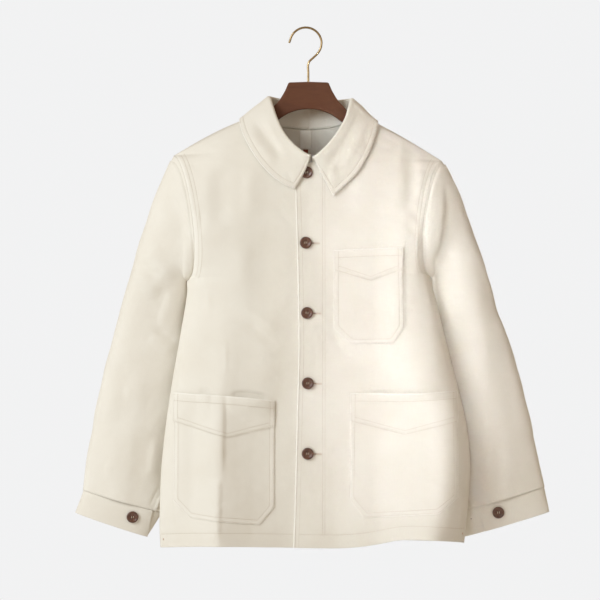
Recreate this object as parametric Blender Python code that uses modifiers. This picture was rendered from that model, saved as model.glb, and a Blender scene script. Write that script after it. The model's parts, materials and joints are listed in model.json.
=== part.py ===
"""A chore jacket hanging buttoned on a flat wooden hanger.

Run with blender --background --python part.py, or from the text editor. The sizes below are in
millimetres: X runs to the wearer's left, Y to the back and Z up, and heights are measured down
from the point where the hook hangs. Each piece that is cut, sewn on or turned is one closed solid.
"""

import math

import bmesh
import bpy
import numpy as np
from mathutils import Vector

MM = 0.001

# ---------------------------------------------------------------- driving sizes
CENTRE_X = 4.6  # the jacket's centre line stands this far from the hook's point
SEAM_GAP = 0.3
CLOTH = 1.8
COLLAR_CLOTH = 2.6
CUFF_CLOTH = 2.4
POCKET_CLOTH = 1.3
HEM_HEIGHT = -850.0
NECK_POINT = (80.0, 0.0, -139.0)
SHOULDER_Y = 0.0

ROWS_BELOW = 12  # rows of the panels from the hem to the underarm
ROWS_ABOVE = 12  # rows from the underarm to the shoulder seam, all round half of an armhole
ROWS_NECK = 7  # how many of those rows end on the front neckline
PANEL_COLUMNS = 13
NECK_COLUMNS = 6
COLUMN_CROWD = 1.7  # how much closer the columns stand towards the side
SHARP_FROM = math.radians(50)  # cloth turns smoothly up to this angle


def table(columns, *rows):
    """A table with named columns, a row for each section."""
    return dict(zip(columns.split(), np.array(rows, float).T))


def smooth(at, knots, values):
    """A smooth curve through the values at rising knots."""
    at = np.asarray(at, float)
    values = np.asarray(values, float)
    slopes = np.gradient(values, knots, axis=0)
    i = np.clip(np.searchsorted(knots, at, side="right") - 1, 0, len(knots) - 2)
    step = knots[i + 1] - knots[i]
    t = np.clip((at - knots[i]) / step, 0.0, 1.0)
    if values.ndim > 1:
        t, step = t[..., None], step[..., None]
    return (
        (1 + 2 * t) * (1 - t) ** 2 * values[i]
        + t * (1 - t) ** 2 * step * slopes[i]
        + t**2 * (3 - 2 * t) * values[i + 1]
        - t**2 * (1 - t) * step * slopes[i + 1]
    )


def eased(t):
    t = np.clip(t, 0.0, 1.0)
    return t * t * (3 - 2 * t)


def unit(vectors):
    return vectors / np.maximum(np.linalg.norm(vectors, axis=-1, keepdims=True), 1e-12)


# The side edges of the hanging body, from the hem up to the underarm.
SIDES = table(
    "height right left",
    (-850, -243.0, 255.5),
    (-818, -244.5, 258.5),
    (-769, -243.8, 262.7),
    (-729, -242.3, 264.9),
    (-672, -237.0, 261.9),
    (-612, -229.0, 250.4),
    (-573, -222.8, 240.6),
    (-495, -209.3, 221.2),
    (-444, -200.8, 208.7),
    (-402, -196.0, 197.0),
)
SIDE_Y = table("height y", (-850, -4), (-600, -2), (-402, 2))

# Each armhole is an oval: its tip, its underarm, how far its front and back seams are scooped
# towards the body, and how far they stand out to the front and the back.
ARMHOLES = {
    "right": dict(tip=(-221.2, -208.4), under=(-196.5, -408.5), scoop=(19, 14), reach=(34, 34)),
    "left": dict(tip=(218.6, -217.2), under=(197.0, -402.0), scoop=(19, 14), reach=(34, 34)),
}
UNDERARM_Y = 2.0
UNDERARM_GAP = 1.0  # the sleeve's lowest point stands this much higher than the body's
UNDERARM_TURN = (1.6, 1.2, 0.6)  # how far the armhole's cloth faces down at its lowest rows
SIGN = {"right": -1.0, "left": 1.0}
SHOULDER_CROWN = {"right": 5.0, "left": 3.0}  # how far each shoulder seam bows up
RIDGE_ROUND, RIDGE_RUN = 20.0, 60.0
EDGE_ROUND = 6.0
RISE_RUNS = 2.6  # a turn is over after this many of its runs

# How far the front and back bulge, and over what run they do so from each side.
FRONT = table(
    "height depth right_run left_run",
    (-850, 50, 55, 26),
    (-700, 50, 55, 26),
    (-580, 49, 55, 32),
    (-450, 47, 55, 50),
    (-330, 45, 55, 55),
    (-222, 46, 60, 60),
    (-139, 40, 60, 60),
)
BACK = table(
    "height depth right_run left_run",
    (-850, 42, 60, 60),
    (-600, 42, 60, 60),
    (-400, 42, 60, 60),
    (-222, 40, 60, 60),
    (-139, 36, 60, 60),
)
FRONT_HEM = table(
    "x height",
    (-244, -851),
    (-200, -846.5),
    (-148, -843.5),
    (-100, -845),
    (-55, -846.5),
    (0, -848),
    (60, -848),
    (110, -841.8),
    (144, -834),
    (217, -833.6),
    (257, -840),
)
# Large folds: from a top point to a foot, the width of each flank, the roundness of the crest,
# and how far the crest stands out at its top and foot.
FRONT_FOLDS = table(
    "x0 z0 x1 z1 width round top_rise foot_rise",
    (-136, -330, -148, -870, 44, 10, 0, 30),
    (176, -380, 198, -870, 46, 22, 0, 40),
    (46, -560, 40, -870, 34, 20, 0, -7),
    (118, -170, 112, -330, 26, 12, 4, -4),
)
BACK_FOLDS = table(
    "x0 z0 x1 z1 width round top_rise foot_rise",
    (-90, -260, -118, -870, 38, 18, 0, 11),
    (70, -330, 96, -870, 40, 20, 0, 12),
    (-10, -420, -14, -870, 34, 16, 0, -7),
)
PLACKET_EDGE = table(
    "height x", (-850, -25), (-760, -22), (-650, -19.5), (-520, -16.5), (-430, -17.5), (-222, -23)
)
UNDER_EDGE_X = 22.0  # the buttoned-under front ends here
OVERLAP_STEP = 2.6
OVERLAP_EASE = 60.0
FRONT_NECKLINE = table(
    "step inward height",
    (0, 1.00, -224),
    (1, 0.74, -222),
    (2, 0.48, -208.5),
    (3, 0.26, -190),
    (4, 0.10, -170),
    (5, 0.03, -154),
    (6, 0.006, -144),
    (7, 0.00, -139),
)
BACK_NECK_DROP = 25.0


# ---------------------------------------------------------------- the body's form
def armhole(side, angle):
    """Points round an armhole: 0 at the shoulder tip, then the front, pi at the underarm, the back."""
    hole = ARMHOLES[side]
    tip, under = np.array(hole["tip"]), np.array(hole["under"])
    angle = np.asarray(angle, float)
    front = np.sin(angle) >= 0
    out = np.abs(np.sin(angle))
    share = (1 - np.cos(angle)) / 2
    x = tip[0] + (under[0] - tip[0]) * share
    x = x - SIGN[side] * out * np.where(front, hole["scoop"][0], hole["scoop"][1])
    y = SHOULDER_Y + (UNDERARM_Y - SHOULDER_Y) * share
    y = y + out * np.where(front, -hole["reach"][0], hole["reach"][1])
    z = tip[1] + (under[1] - tip[1]) * share
    return np.stack([x, y, z], axis=-1)


def armhole_at(side, z, back):
    """(x, y) of the armhole's front or back seam at a height."""
    top, bottom = ARMHOLES[side]["tip"][1], ARMHOLES[side]["under"][1]
    share = np.clip((top - z) / (top - bottom), 0.0, 1.0)
    angle = np.arccos(1 - 2 * share)
    points = armhole(side, -angle if back else angle)
    return points[..., 0], points[..., 1]


def outer_edge(side, z, back):
    """(x, y) where the panel ends at a height: the side edge, and the armhole above it."""
    z = np.asarray(z, float)
    arm_x, arm_y = armhole_at(side, z, back)
    side_x = smooth(z, SIDES["height"], SIDES[side])
    side_y = smooth(z, SIDE_Y["height"], SIDE_Y["y"])
    low = z < ARMHOLES[side]["under"][1]
    return np.where(low, side_x, arm_x), np.where(low, side_y, arm_y)


def shoulder_height(side, x):
    """Height of the shoulder seam at a distance from the centre line."""
    neck_x, _, neck_z = NECK_POINT
    tip_x, tip_z = ARMHOLES[side]["tip"]
    share = (np.abs(x) - neck_x) / (abs(tip_x) - neck_x)
    bow = np.sin(math.pi * np.clip(share, 0, 1)) * SHOULDER_CROWN[side]
    return neck_z + (tip_z - neck_z) * share + bow


def rounded_rise(distance, roundness, run):
    """0 at an edge with a rounded turn, rising to 1 where the turn is over."""
    distance = np.maximum(distance, 0.0)
    gone = np.sqrt(distance**2 + 2 * roundness * distance) / (RISE_RUNS * run)
    return 1 - (1 - np.minimum(gone, 1.0)) ** 3


def fold_rise(folds, x, z):
    """How far the folds push a panel outwards at (x, z)."""
    total = np.zeros(np.broadcast(x, z).shape)
    for row in zip(*folds.values()):
        x0, z0, x1, z1, width, roundness, top_rise, foot_rise = row
        along = np.clip((z0 - z) / (z0 - z1), 0.0, 1.0)
        away = x - (x0 + (x1 - x0) * along)
        crest = np.exp(-(np.sqrt(away**2 + roundness**2) - roundness) / width)
        total = total + crest * eased(along * 1.25) * (top_rise + (foot_rise - top_rise) * along)
    return total


def body_y(x, z, back):
    """Y of the body's outer surface at (x, z), on the front or on the back."""
    x, z = np.broadcast_arrays(np.asarray(x, float), np.asarray(z, float))
    form = BACK if back else FRONT
    bulge = smooth(z, form["height"], form["depth"])
    bulge = bulge + fold_rise(BACK_FOLDS if back else FRONT_FOLDS, x, z)
    fill = np.ones_like(x)
    edge_y = np.zeros_like(x)
    for side in ("right", "left"):
        x_edge, y_edge = outer_edge(side, z, back)
        run = smooth(z, form["height"], form[side + "_run"])
        fill = fill * rounded_rise((x_edge - x) * SIGN[side], EDGE_ROUND, run)
        edge_y = np.where(x * SIGN[side] >= 0, y_edge, edge_y)
    ridge = np.where(x < 0, shoulder_height("right", x), shoulder_height("left", x))
    fill = fill * rounded_rise(ridge - z, RIDGE_ROUND, RIDGE_RUN)
    return edge_y + ((bulge if back else -bulge) - edge_y) * fill


def front_y(side, x, z):
    """The front's surface: the right front passes behind the left one at the placket."""
    y = body_y(x, z, back=False)
    if side == "right":
        edge = smooth(z, PLACKET_EDGE["height"], PLACKET_EDGE["x"])
        y = y + OVERLAP_STEP * eased((x - edge + OVERLAP_EASE) / OVERLAP_EASE)
    return y


# ---------------------------------------------------------------- sheets and walls
ARM_ANGLES = math.pi * (1 - np.arange(ROWS_ABOVE + 1) / ROWS_ABOVE)
COLUMN_SHARES = 1 - (1 - np.arange(PANEL_COLUMNS + 1) / PANEL_COLUMNS) ** COLUMN_CROWD


def outer_rows(side, back):
    """The panel's points on the side edge and the armhole, from the hem to the shoulder tip."""
    under_z = ARMHOLES[side]["under"][1]
    z = np.linspace(HEM_HEIGHT, under_z, ROWS_BELOW + 1)[:-1]
    x, y = outer_edge(side, z, back)
    hole = armhole(side, -ARM_ANGLES if back else ARM_ANGLES)
    return np.concatenate([np.stack([x, y, z], axis=-1), hole])


def front_panel(side):
    """A front's outer surface, as rows from the hem up of points from the centre to the side."""
    sign = SIGN[side]
    outer = outer_rows(side, back=False)
    under_z = ARMHOLES[side]["under"][1]
    neck_rise = np.linspace(under_z, FRONT_NECKLINE["height"][0], ROWS_ABOVE - ROWS_NECK + 1)
    inner_z = np.concatenate(
        [outer[:ROWS_BELOW, 2], neck_rise, FRONT_NECKLINE["height"][1:]]
    )
    if side == "left":
        inner_x = smooth(inner_z, PLACKET_EDGE["height"], PLACKET_EDGE["x"])
    else:
        inner_x = np.full_like(inner_z, UNDER_EDGE_X)
    foot = ROWS_BELOW + ROWS_ABOVE - ROWS_NECK
    neck_x = NECK_POINT[0] * sign
    inner_x[foot:] = neck_x + (inner_x[foot] - neck_x) * FRONT_NECKLINE["inward"]
    share = COLUMN_SHARES[None, :]
    x = inner_x[:, None] * (1 - share) + outer[:, None, 0] * share
    z = inner_z[:, None] * (1 - share) + outer[:, None, 2] * share
    z[-1] = shoulder_height(side, x[-1])
    hem = smooth(x, FRONT_HEM["x"], FRONT_HEM["height"]) - HEM_HEIGHT
    fade = np.clip(1 - np.arange(len(z)) / ROWS_BELOW, 0, 1) ** 2
    z = z + hem * fade[:, None]
    y = front_y(side, x, z)
    points = np.stack([x, y, z], axis=-1)
    points[:, -1, 1] = outer[:, 1]
    points[-1, :, 1] = SHOULDER_Y
    return points


def back_panel():
    """The back's outer surface, as rows from the hem up of points from the right to the left."""
    neck_x, _, neck_z = NECK_POINT
    right, left = outer_rows("right", back=True), outer_rows("left", back=True)
    top_right = -neck_x + (ARMHOLES["right"]["tip"][0] + neck_x) * COLUMN_SHARES[::-1]
    top_left = neck_x + (ARMHOLES["left"]["tip"][0] - neck_x) * COLUMN_SHARES
    top_neck = np.linspace(-neck_x, neck_x, NECK_COLUMNS + 1)[1:-1]
    top_x = np.concatenate([top_right, top_neck, top_left])
    neck = neck_z - BACK_NECK_DROP * np.sqrt(np.clip(1 - (top_x / neck_x) ** 2, 0, 1))
    shoulder = np.where(
        top_x < 0, shoulder_height("right", top_x), shoulder_height("left", top_x)
    )
    top_z = np.where(np.abs(top_x) < neck_x - 0.01, neck, shoulder)
    across = (top_x - top_x[0]) / (top_x[-1] - top_x[0])
    x = right[:, None, 0] * (1 - across) + left[:, None, 0] * across
    edge_z = right[:, None, 2] * (1 - across) + left[:, None, 2] * across
    tip_z = right[-1, 2] * (1 - across) + left[-1, 2] * across
    z = HEM_HEIGHT + (edge_z - HEM_HEIGHT) * (top_z - HEM_HEIGHT) / (tip_z - HEM_HEIGHT)
    y = body_y(x, z, back=True)
    points = np.stack([x, y, z], axis=-1)
    points[:, 0], points[:, -1] = right, left
    on_shoulder = np.abs(top_x) > neck_x - 0.01
    points[-1, on_shoulder, 1] = SHOULDER_Y
    return points


def grid_normals(points):
    """Unit normals of a grid of points, by the run of its rows and columns."""
    across = np.gradient(points, axis=1)
    up = np.gradient(points, axis=0)
    return unit(np.cross(across, up))


def seam_shift(points, normals, inside):
    """Half a seam's gap, from each point of the seam into the panel."""
    along = np.gradient(points, axis=0)
    into = np.cross(unit(along), normals)
    into = unit(into) * np.sign(np.sum(into * inside, axis=-1, keepdims=True))
    return into * SEAM_GAP / 2


def ridge_normal(side):
    """Straight out of a shoulder seam: both of its cloths turn this way along it."""
    neck_x, _, neck_z = NECK_POINT
    tip_x, tip_z = ARMHOLES[side]["tip"]
    run, drop = abs(tip_x) - neck_x, neck_z - tip_z
    return unit(np.array([SIGN[side] * drop, 0.0, run]))


def grid_faces(rows, columns, closed=False):
    """Triangles of a grid of points, counter-clockwise when columns run right and rows run up."""
    faces = []
    for i in range(rows - 1):
        for j in range(columns if closed else columns - 1):
            a, b = i * columns + j, i * columns + (j + 1) % columns
            c, d = b + columns, a + columns
            faces += [(a, b, c), (a, c, d)]
    return faces


def wall(name, points, inward, faces, cloth, gap=0.0):
    """A closed wall of cloth: the sheet, and the same sheet moved along each point's direction."""
    points, inward = points.reshape(-1, 3), inward.reshape(-1, 3)
    count = len(points)
    layers = np.concatenate([points + inward * gap, points + inward * (gap + cloth)])
    edges = {}
    for face in faces:
        for start, end in zip(face, face[1:] + face[:1]):
            edges[(start, end)] = True
    solid = list(faces) + [tuple(count + i for i in reversed(face)) for face in faces]
    for start, end in edges:
        if (end, start) not in edges:
            solid.append((end, start, count + start))
            solid.append((end, count + start, count + end))
    return mesh_object(name, layers, solid)


def mesh_object(name, points, faces):
    mesh = bpy.data.meshes.new(name)
    mesh.from_pydata((np.asarray(points) * MM).tolist(), [], faces)
    mesh.validate()
    mesh.shade_smooth()
    mesh.set_sharp_from_angle(angle=SHARP_FROM)
    return bpy.data.objects.new(name, mesh)


# ---------------------------------------------------------------- the body
def body_grids():
    """Each panel's points and outward normals, half a seam's gap clear of its neighbours."""
    grids = {"front_" + side: front_panel(side) for side in SIGN}
    grids["back"] = back_panel()
    arm_seams = {}
    for name, points in grids.items():
        back = name == "back"
        normals = grid_normals(points)
        if back:
            normals = -normals
        elif name == "front_right":
            normals = -normals
        for side, column in (("right", 0), ("left", -1)) if back else ((name[6:], -1),):
            seam = slice(0, PANEL_COLUMNS + 1) if column == 0 else slice(-PANEL_COLUMNS - 1, None)
            corner_normal = unit(ridge_normal(side) + np.array([SIGN[side], 0.0, 0.0]))
            normals[: ROWS_BELOW + 1, column] = (SIGN[side], 0.0, 0.0)
            normals[-1, seam] = ridge_normal(side)
            normals[-1, column] = corner_normal
            under = slice(ROWS_BELOW, ROWS_BELOW + len(UNDERARM_TURN))
            turned = normals[under, column] - np.outer(UNDERARM_TURN, (0.0, 0.0, 1.0))
            normals[under, column] = unit(turned)
            inner = 1 if column == 0 else -2
            edge, top = points[:, column].copy(), points[-1, seam].copy()
            shift = seam_shift(edge, normals[:, column], points[:, inner] - edge)
            arm_seams[side, back] = (normals[ROWS_BELOW:, column].copy(), -shift[ROWS_BELOW:])
            arm_seams[side, back][1][0, 2] += UNDERARM_GAP
            ridge_shift = seam_shift(top, normals[-1, seam], points[-2, seam] - top)
            points[:, column] += shift
            points[-1, seam] += ridge_shift
        grids[name] = (points, normals)
    return grids, arm_seams


def panel_faces(name, points):
    """The panel's triangles, facing out."""
    faces = grid_faces(*points.shape[:2])
    return faces if name == "front_left" else [face[::-1] for face in faces]


def body_panels(grids):
    return [
        wall(name, points, -normals, panel_faces(name, points), CLOTH)
        for name, (points, normals) in grids.items()
    ]


# ---------------------------------------------------------------- sleeves and cuffs
# From the armhole to the cuff's seam: the sleeve's outer and inner points, and half its depth.
SLEEVES = {
    "right": table(
        "share outer_x outer_y outer_z inner_x inner_y inner_z half",
        (0.00, -221.2, 0, -208.4, -196.5, 2, -408.5, 34),
        (0.04, -231.5, 2, -230.5, -202.9, 7, -413.8, 33.5),
        (0.08, -241.3, 4, -252.0, -200.5, 15, -420.0, 33),
        (0.20, -263.0, 12, -309.0, -196.0, 28, -450.0, 31),
        (0.35, -287.6, 20, -387.7, -198.0, 33, -500.0, 29),
        (0.50, -309.0, 25, -464.1, -200.0, 34, -560.0, 27),
        (0.65, -327.3, 27, -528.6, -208.0, 34, -620.0, 26),
        (0.80, -347.5, 27, -619.3, -222.0, 33, -690.0, 24),
        (0.92, -364.1, 26, -702.0, -234.0, 32, -752.0, 21),
        (1.00, -370.8, 25, -760.0, -240.0, 31, -797.0, 18),
    ),
    "left": table(
        "share outer_x outer_y outer_z inner_x inner_y inner_z half",
        (0.00, 218.6, 0, -217.2, 197.0, 2, -402.0, 34),
        (0.04, 229.0, 2, -235.0, 203.8, 6.5, -407.2, 33.5),
        (0.08, 239.0, 4, -253.0, 203.5, 14, -413.5, 33),
        (0.20, 259.0, 12, -303.0, 202.0, 28, -446.0, 31),
        (0.35, 286.8, 20, -385.0, 209.0, 33, -500.0, 29),
        (0.50, 310.3, 25, -462.0, 216.0, 34, -560.0, 27),
        (0.65, 335.0, 27, -530.0, 228.0, 34, -620.0, 26),
        (0.80, 359.0, 27, -620.0, 241.0, 33, -690.0, 24),
        (0.92, 377.4, 26, -702.0, 249.0, 32, -750.0, 21),
        (1.00, 388.4, 25, -754.8, 255.0, 31, -793.0, 18),
    ),
}
SLEEVE_ROWS = 16
SLEEVE_CROWD = 1.15  # how much closer the rows stand at the armhole
SCOOP_END = (0.32, 0.06)  # the scoop has faded out by these shares, outside and under the arm
SLEEVE_FOLDS = {
    "right": table(
        "x0 z0 x1 z1 width round top_rise foot_rise",
        (-238, -270, -318, -520, 20, 10, 5, 4),
        (-280, -560, -300, -760, 18, 8, 5, 3),
    ),
    "left": table(
        "x0 z0 x1 z1 width round top_rise foot_rise",
        (246, -270, 290, -500, 18, 10, 5, 6),
        (318, -560, 330, -760, 20, 9, 5, 3),
    ),
}
# The cuff's lower edge, and the share of its width where its upper end lies, at its top and foot.
CUFF_FOOT = {
    "right": dict(outer=(-384.5, -796.8), inner=(-265.5, -837.0), end=(0.867, 0.985)),
    "left": dict(outer=(396.6, -795.2), inner=(254.0, -838.0), end=(0.816, 0.735)),
}
CUFF_UNDERLAP = math.radians(75)  # the under end reaches this far round the front
CUFF_LAP = 1.9  # the two ends lie this far out and in from the middle
CUFF_ROWS, CUFF_COLUMNS = 3, 34
CUFF_HALF = 16.0
CUFF_SEAM_GAP = 0.5


def sleeve_points(side, share, angle):
    """The sleeve's outer surface: share runs down it, and the angle round it as on the armhole."""
    form = SLEEVES[side]
    share, angle = np.broadcast_arrays(share, angle)
    at = {key: smooth(share, form["share"], form[key]) for key in form if key != "share"}
    across = (1 - np.cos(angle)) / 2
    out = np.sin(angle)
    scoop = np.where(out >= 0, *ARMHOLES[side]["scoop"])
    fade = 1 - eased(share / (SCOOP_END[0] + (SCOOP_END[1] - SCOOP_END[0]) * across))
    x = at["outer_x"] + (at["inner_x"] - at["outer_x"]) * across
    z = at["outer_z"] + (at["inner_z"] - at["outer_z"]) * across
    folds = fold_rise(SLEEVE_FOLDS[side], x, z) * np.maximum(out, 0) * (1 - fade)
    x = x - SIGN[side] * np.abs(out) * scoop * fade
    y = at["outer_y"] + (at["inner_y"] - at["outer_y"]) * across - at["half"] * out - folds
    return np.stack([x, y, z], axis=-1)


def sleeve(side, arm_seams):
    half = math.pi * np.arange(ROWS_ABOVE + 1) / ROWS_ABOVE
    angles = np.concatenate([half, -half[::-1][1:-1]])
    shares = (np.arange(SLEEVE_ROWS + 1) / SLEEVE_ROWS) ** SLEEVE_CROWD
    points = sleeve_points(side, shares[:, None], angles[None, :])
    wrapped = np.concatenate([points[:, -1:], points, points[:, :1]], axis=1)
    normals = grid_normals(wrapped)[:, 1:-1] * -SIGN[side]
    front_normals, front_shift = arm_seams[side, False]
    back_normals, back_shift = arm_seams[side, True]
    normals[0] = np.concatenate([front_normals[::-1], back_normals[1:-1]])
    points[0] += np.concatenate([front_shift[::-1], back_shift[1:-1]])
    faces = grid_faces(*points.shape[:2], closed=True)
    if side == "left":
        faces = [face[::-1] for face in faces]
    return wall("sleeve_" + side, points, -normals, faces, CLOTH)


def cuff_points(side, down, turn):
    """The cuff's middle surface: down runs 0 to 1, and turn 0 to 1 from its upper end to its lower."""
    form, foot = SLEEVES[side], CUFF_FOOT[side]
    top_outer = np.array([form["outer_x"][-1], form["outer_z"][-1]])
    top_inner = np.array([form["inner_x"][-1], form["inner_z"][-1]])
    down, turn = np.broadcast_arrays(down, turn)
    end_share = foot["end"][0] + (foot["end"][1] - foot["end"][0]) * down
    start = np.arccos(1 - 2 * end_share)
    angle = start + (CUFF_UNDERLAP - 2 * math.pi - start) * turn
    lap = CUFF_LAP * (1 - 2 * eased(turn))
    outer = top_outer + (np.array(foot["outer"]) - top_outer) * down[..., None]
    inner = top_inner + (np.array(foot["inner"]) - top_inner) * down[..., None]
    half_width = np.linalg.norm(inner - outer, axis=-1) / 2
    half_depth = form["half"][-1] + (CUFF_HALF - form["half"][-1]) * down - CUFF_CLOTH / 2
    across = unit(outer - inner) * ((half_width - CUFF_CLOTH / 2 + lap) * np.cos(angle))[..., None]
    xz = (outer + inner) / 2 + across
    y = form["outer_y"][-1] + (form["inner_y"][-1] - form["outer_y"][-1]) * (1 - np.cos(angle)) / 2
    y = y - (half_depth + lap) * np.sin(angle)
    return np.stack([xz[..., 0], y, xz[..., 1]], axis=-1)


def cuff(side):
    foot = CUFF_FOOT[side]
    length = abs(foot["outer"][1] - SLEEVES[side]["outer_z"][-1])
    down = np.linspace(CUFF_SEAM_GAP / length, 1, CUFF_ROWS + 1)
    turn = np.linspace(0, 1, CUFF_COLUMNS + 1)
    points = cuff_points(side, down[:, None], turn[None, :])
    normals = grid_normals(points) * SIGN[side]
    faces = grid_faces(*points.shape[:2])
    if side == "right":
        faces = [face[::-1] for face in faces]
    return wall("cuff_" + side, points, -normals, faces, CUFF_CLOTH, gap=-CUFF_CLOTH / 2)


# ---------------------------------------------------------------- the collar
# Sections of the collar round the neckline, from its right front end to its left: where it
# folds over, where its edge lies on the body, and how far it stands off the body there.
COLLAR = table(
    "share fold_x fold_y fold_z edge_x edge_z lift",
    (0.00, 3.0, -53, -212, -23.0, -266, 6.5),
    (0.06, -9.0, -54, -206, -43.5, -256, 6.5),
    (0.12, -26.0, -50, -192, -66.0, -238, 5.5),
    (0.18, -42.0, -42, -171, -90.5, -208, 5.0),
    (0.23, -53.0, -30, -146, -107.0, -177, 5.0),
    (0.265, -59.0, -17, -127, -112.0, -162, 5.0),
    (0.29, -62.0, -8, -117, -113.3, -156, 4.5),
    (0.31, -63.5, 0, -113, -113.5, -152, 4.5),
    (0.33, -63.0, 9, -112, -113.0, -156, 4.5),
    (0.36, -59.0, 19, -112, -109.0, -165, 5.0),
    (0.40, -46.0, 28, -114, -93.0, -177, 5.0),
    (0.45, -24.0, 34, -117, -52.0, -184, 5.0),
    (0.50, 2.0, 36, -118, 2.0, -186, 5.0),
    (0.55, 27.0, 34, -118, 54.0, -184, 5.0),
    (0.60, 51.0, 28, -116, 94.0, -178, 5.0),
    (0.64, 65.0, 19, -115, 110.0, -166, 5.0),
    (0.67, 69.5, 9, -115, 113.5, -158, 4.5),
    (0.69, 70.5, 0, -116, 114.0, -153, 4.5),
    (0.71, 69.5, -8, -119, 113.7, -157, 4.5),
    (0.735, 66.5, -16, -128, 112.5, -163, 5.0),
    (0.77, 61.0, -29, -147, 109.5, -178, 5.0),
    (0.82, 48.5, -41, -171, 98.0, -208, 5.0),
    (0.88, 33.0, -49, -192, 79.0, -239, 5.0),
    (0.94, 17.0, -53, -208, 58.5, -260, 5.0),
    (1.00, 7.0, -53, -215, 40.0, -277, 5.0),
)
COLLAR_END_X = (2.0, 6.0)  # where the collar's ends meet the neckline
COLLAR_STATIONS = 40
COLLAR_FOLD_RADIUS = 3.2
COLLAR_ARC = math.radians(72)
COLLAR_SEAM_GAP = 0.6
RIDGE_STEP = 0.5  # for reading the body's slope


def neckline(grids):
    """The neckline's points, panel normals and directions into the opening, right end to left."""
    foot = ROWS_BELOW + ROWS_ABOVE - ROWS_NECK
    right, right_normals = (grid[foot:, 0] for grid in grids["front_right"])
    left, left_normals = (grid[foot:, 0][::-1] for grid in grids["front_left"])
    neck = slice(PANEL_COLUMNS, -PANEL_COLUMNS)
    back, back_normals = (grid[-1, neck] for grid in grids["back"])
    points = np.concatenate([right[:-1], back[1:-1], left[1:]])
    normals = unit(np.concatenate([right_normals[:-1], back_normals[1:-1], left_normals[1:]]))
    corners = (len(right) - 1, len(points) - len(left) + 1)
    points = np.insert(points, corners, [(right[-1] + back[0]) / 2, (left[0] + back[-1]) / 2], 0)
    normals = np.insert(normals, corners, [right_normals[-1], left_normals[0]], 0)
    into = unit(np.cross(normals, unit(np.gradient(points, axis=0))))
    centre = np.array([0.0, 0.0, NECK_POINT[2]])
    into = into * np.sign(np.sum(into * (centre - points), axis=-1, keepdims=True))
    return points, unit(normals), into


def body_point(x, z, back, lift):
    """A point on the body's surface at (x, z), or on its shoulder ridge, moved out by the lift."""
    side = "left" if x > 0 else "right"
    ridge = float(shoulder_height(side, x))
    z = min(z, ridge)
    y = float(body_y(x, z, back))
    y_low = float(body_y(x, z - RIDGE_STEP, back))
    if z == ridge:
        return np.array([x, SHOULDER_Y, z + lift])
    out = np.array([RIDGE_STEP, (y_low - y) * (1 if back else -1)])
    out = out / np.linalg.norm(out)
    return np.array([x, y + (out[0] if back else -out[0]) * lift, z + out[1] * lift])


def collar_section(share, seam, normal, into):
    """The middle line of the collar's cloth from its seam, up and over its fold, to its edge."""
    row = {key: float(smooth(share, COLLAR["share"], COLLAR[key])) for key in COLLAR}
    over_back = COLLAR["share"][7] < share < COLLAR["share"][17]
    start = seam - normal * CLOTH / 2 + into * COLLAR_SEAM_GAP
    fold = np.array([row["fold_x"], row["fold_y"], row["fold_z"]])
    edge = body_point(row["edge_x"], row["edge_z"], over_back, row["lift"])
    down_in, down_out = unit(start - fold), unit(edge - fold)
    apex = -unit(down_in + down_out)
    aside = unit(down_out - down_in)
    centre = fold - apex * COLLAR_FOLD_RADIUS
    arc = [
        centre + COLLAR_FOLD_RADIUS * (math.cos(a) * apex + math.sin(a) * aside)
        for a in np.linspace(-COLLAR_ARC, COLLAR_ARC, 5)
    ]
    stand = [start, start + (arc[0] - start) * 0.5]
    fall = [arc[-1] + (edge - arc[-1]) * t for t in (0.36, 0.7, 1.0)]
    return np.array(stand + arc + fall)


def collar(grids):
    points, normals, into = neckline(grids)
    ends = [
        np.interp(-COLLAR_END_X[0], -points[:8, 0], np.arange(8)),
        len(points) - 8 + np.interp(-COLLAR_END_X[1], -points[-8:, 0], np.arange(8)),
    ]
    inside = np.arange(math.ceil(ends[0] + 0.2), math.floor(ends[1] - 0.2) + 1)
    steps = np.concatenate([ends[:1], inside, ends[1:]])

    def at(values, step):
        i = min(int(step), len(values) - 2)
        return values[i] + (values[i + 1] - values[i]) * (step - i)

    lengths = np.array([at(points, step) for step in steps])
    run = np.concatenate([[0], np.cumsum(np.linalg.norm(np.diff(lengths, axis=0), axis=1))])
    shares = run / run[-1]
    wanted = np.linspace(0, 1, COLLAR_STATIONS + 1)
    far = [w for w in wanted if np.abs(shares - w).min() > 0.35 / COLLAR_STATIONS]
    stations = np.sort(np.concatenate([shares, far]))
    sections, seam_normals = [], []
    for share in stations:
        step = float(np.interp(share, shares, steps))
        normal = unit(at(normals, step))
        sections.append(collar_section(share, at(points, step), normal, unit(at(into, step))))
        seam_normals.append(normal)
    grid = np.array(sections)
    grid_out = grid_normals(grid)
    if np.sum(grid_out[:, 0] * seam_normals) < 0:
        grid_out = -grid_out
    grid_out[:, 0] = seam_normals
    faces = grid_faces(*grid.shape[:2])
    return grid, grid_out, faces


def collar_object(grids):
    grid, out, faces = collar(grids)
    return wall("collar", grid, -out, faces, COLLAR_CLOTH, gap=-COLLAR_CLOTH / 2)


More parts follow.
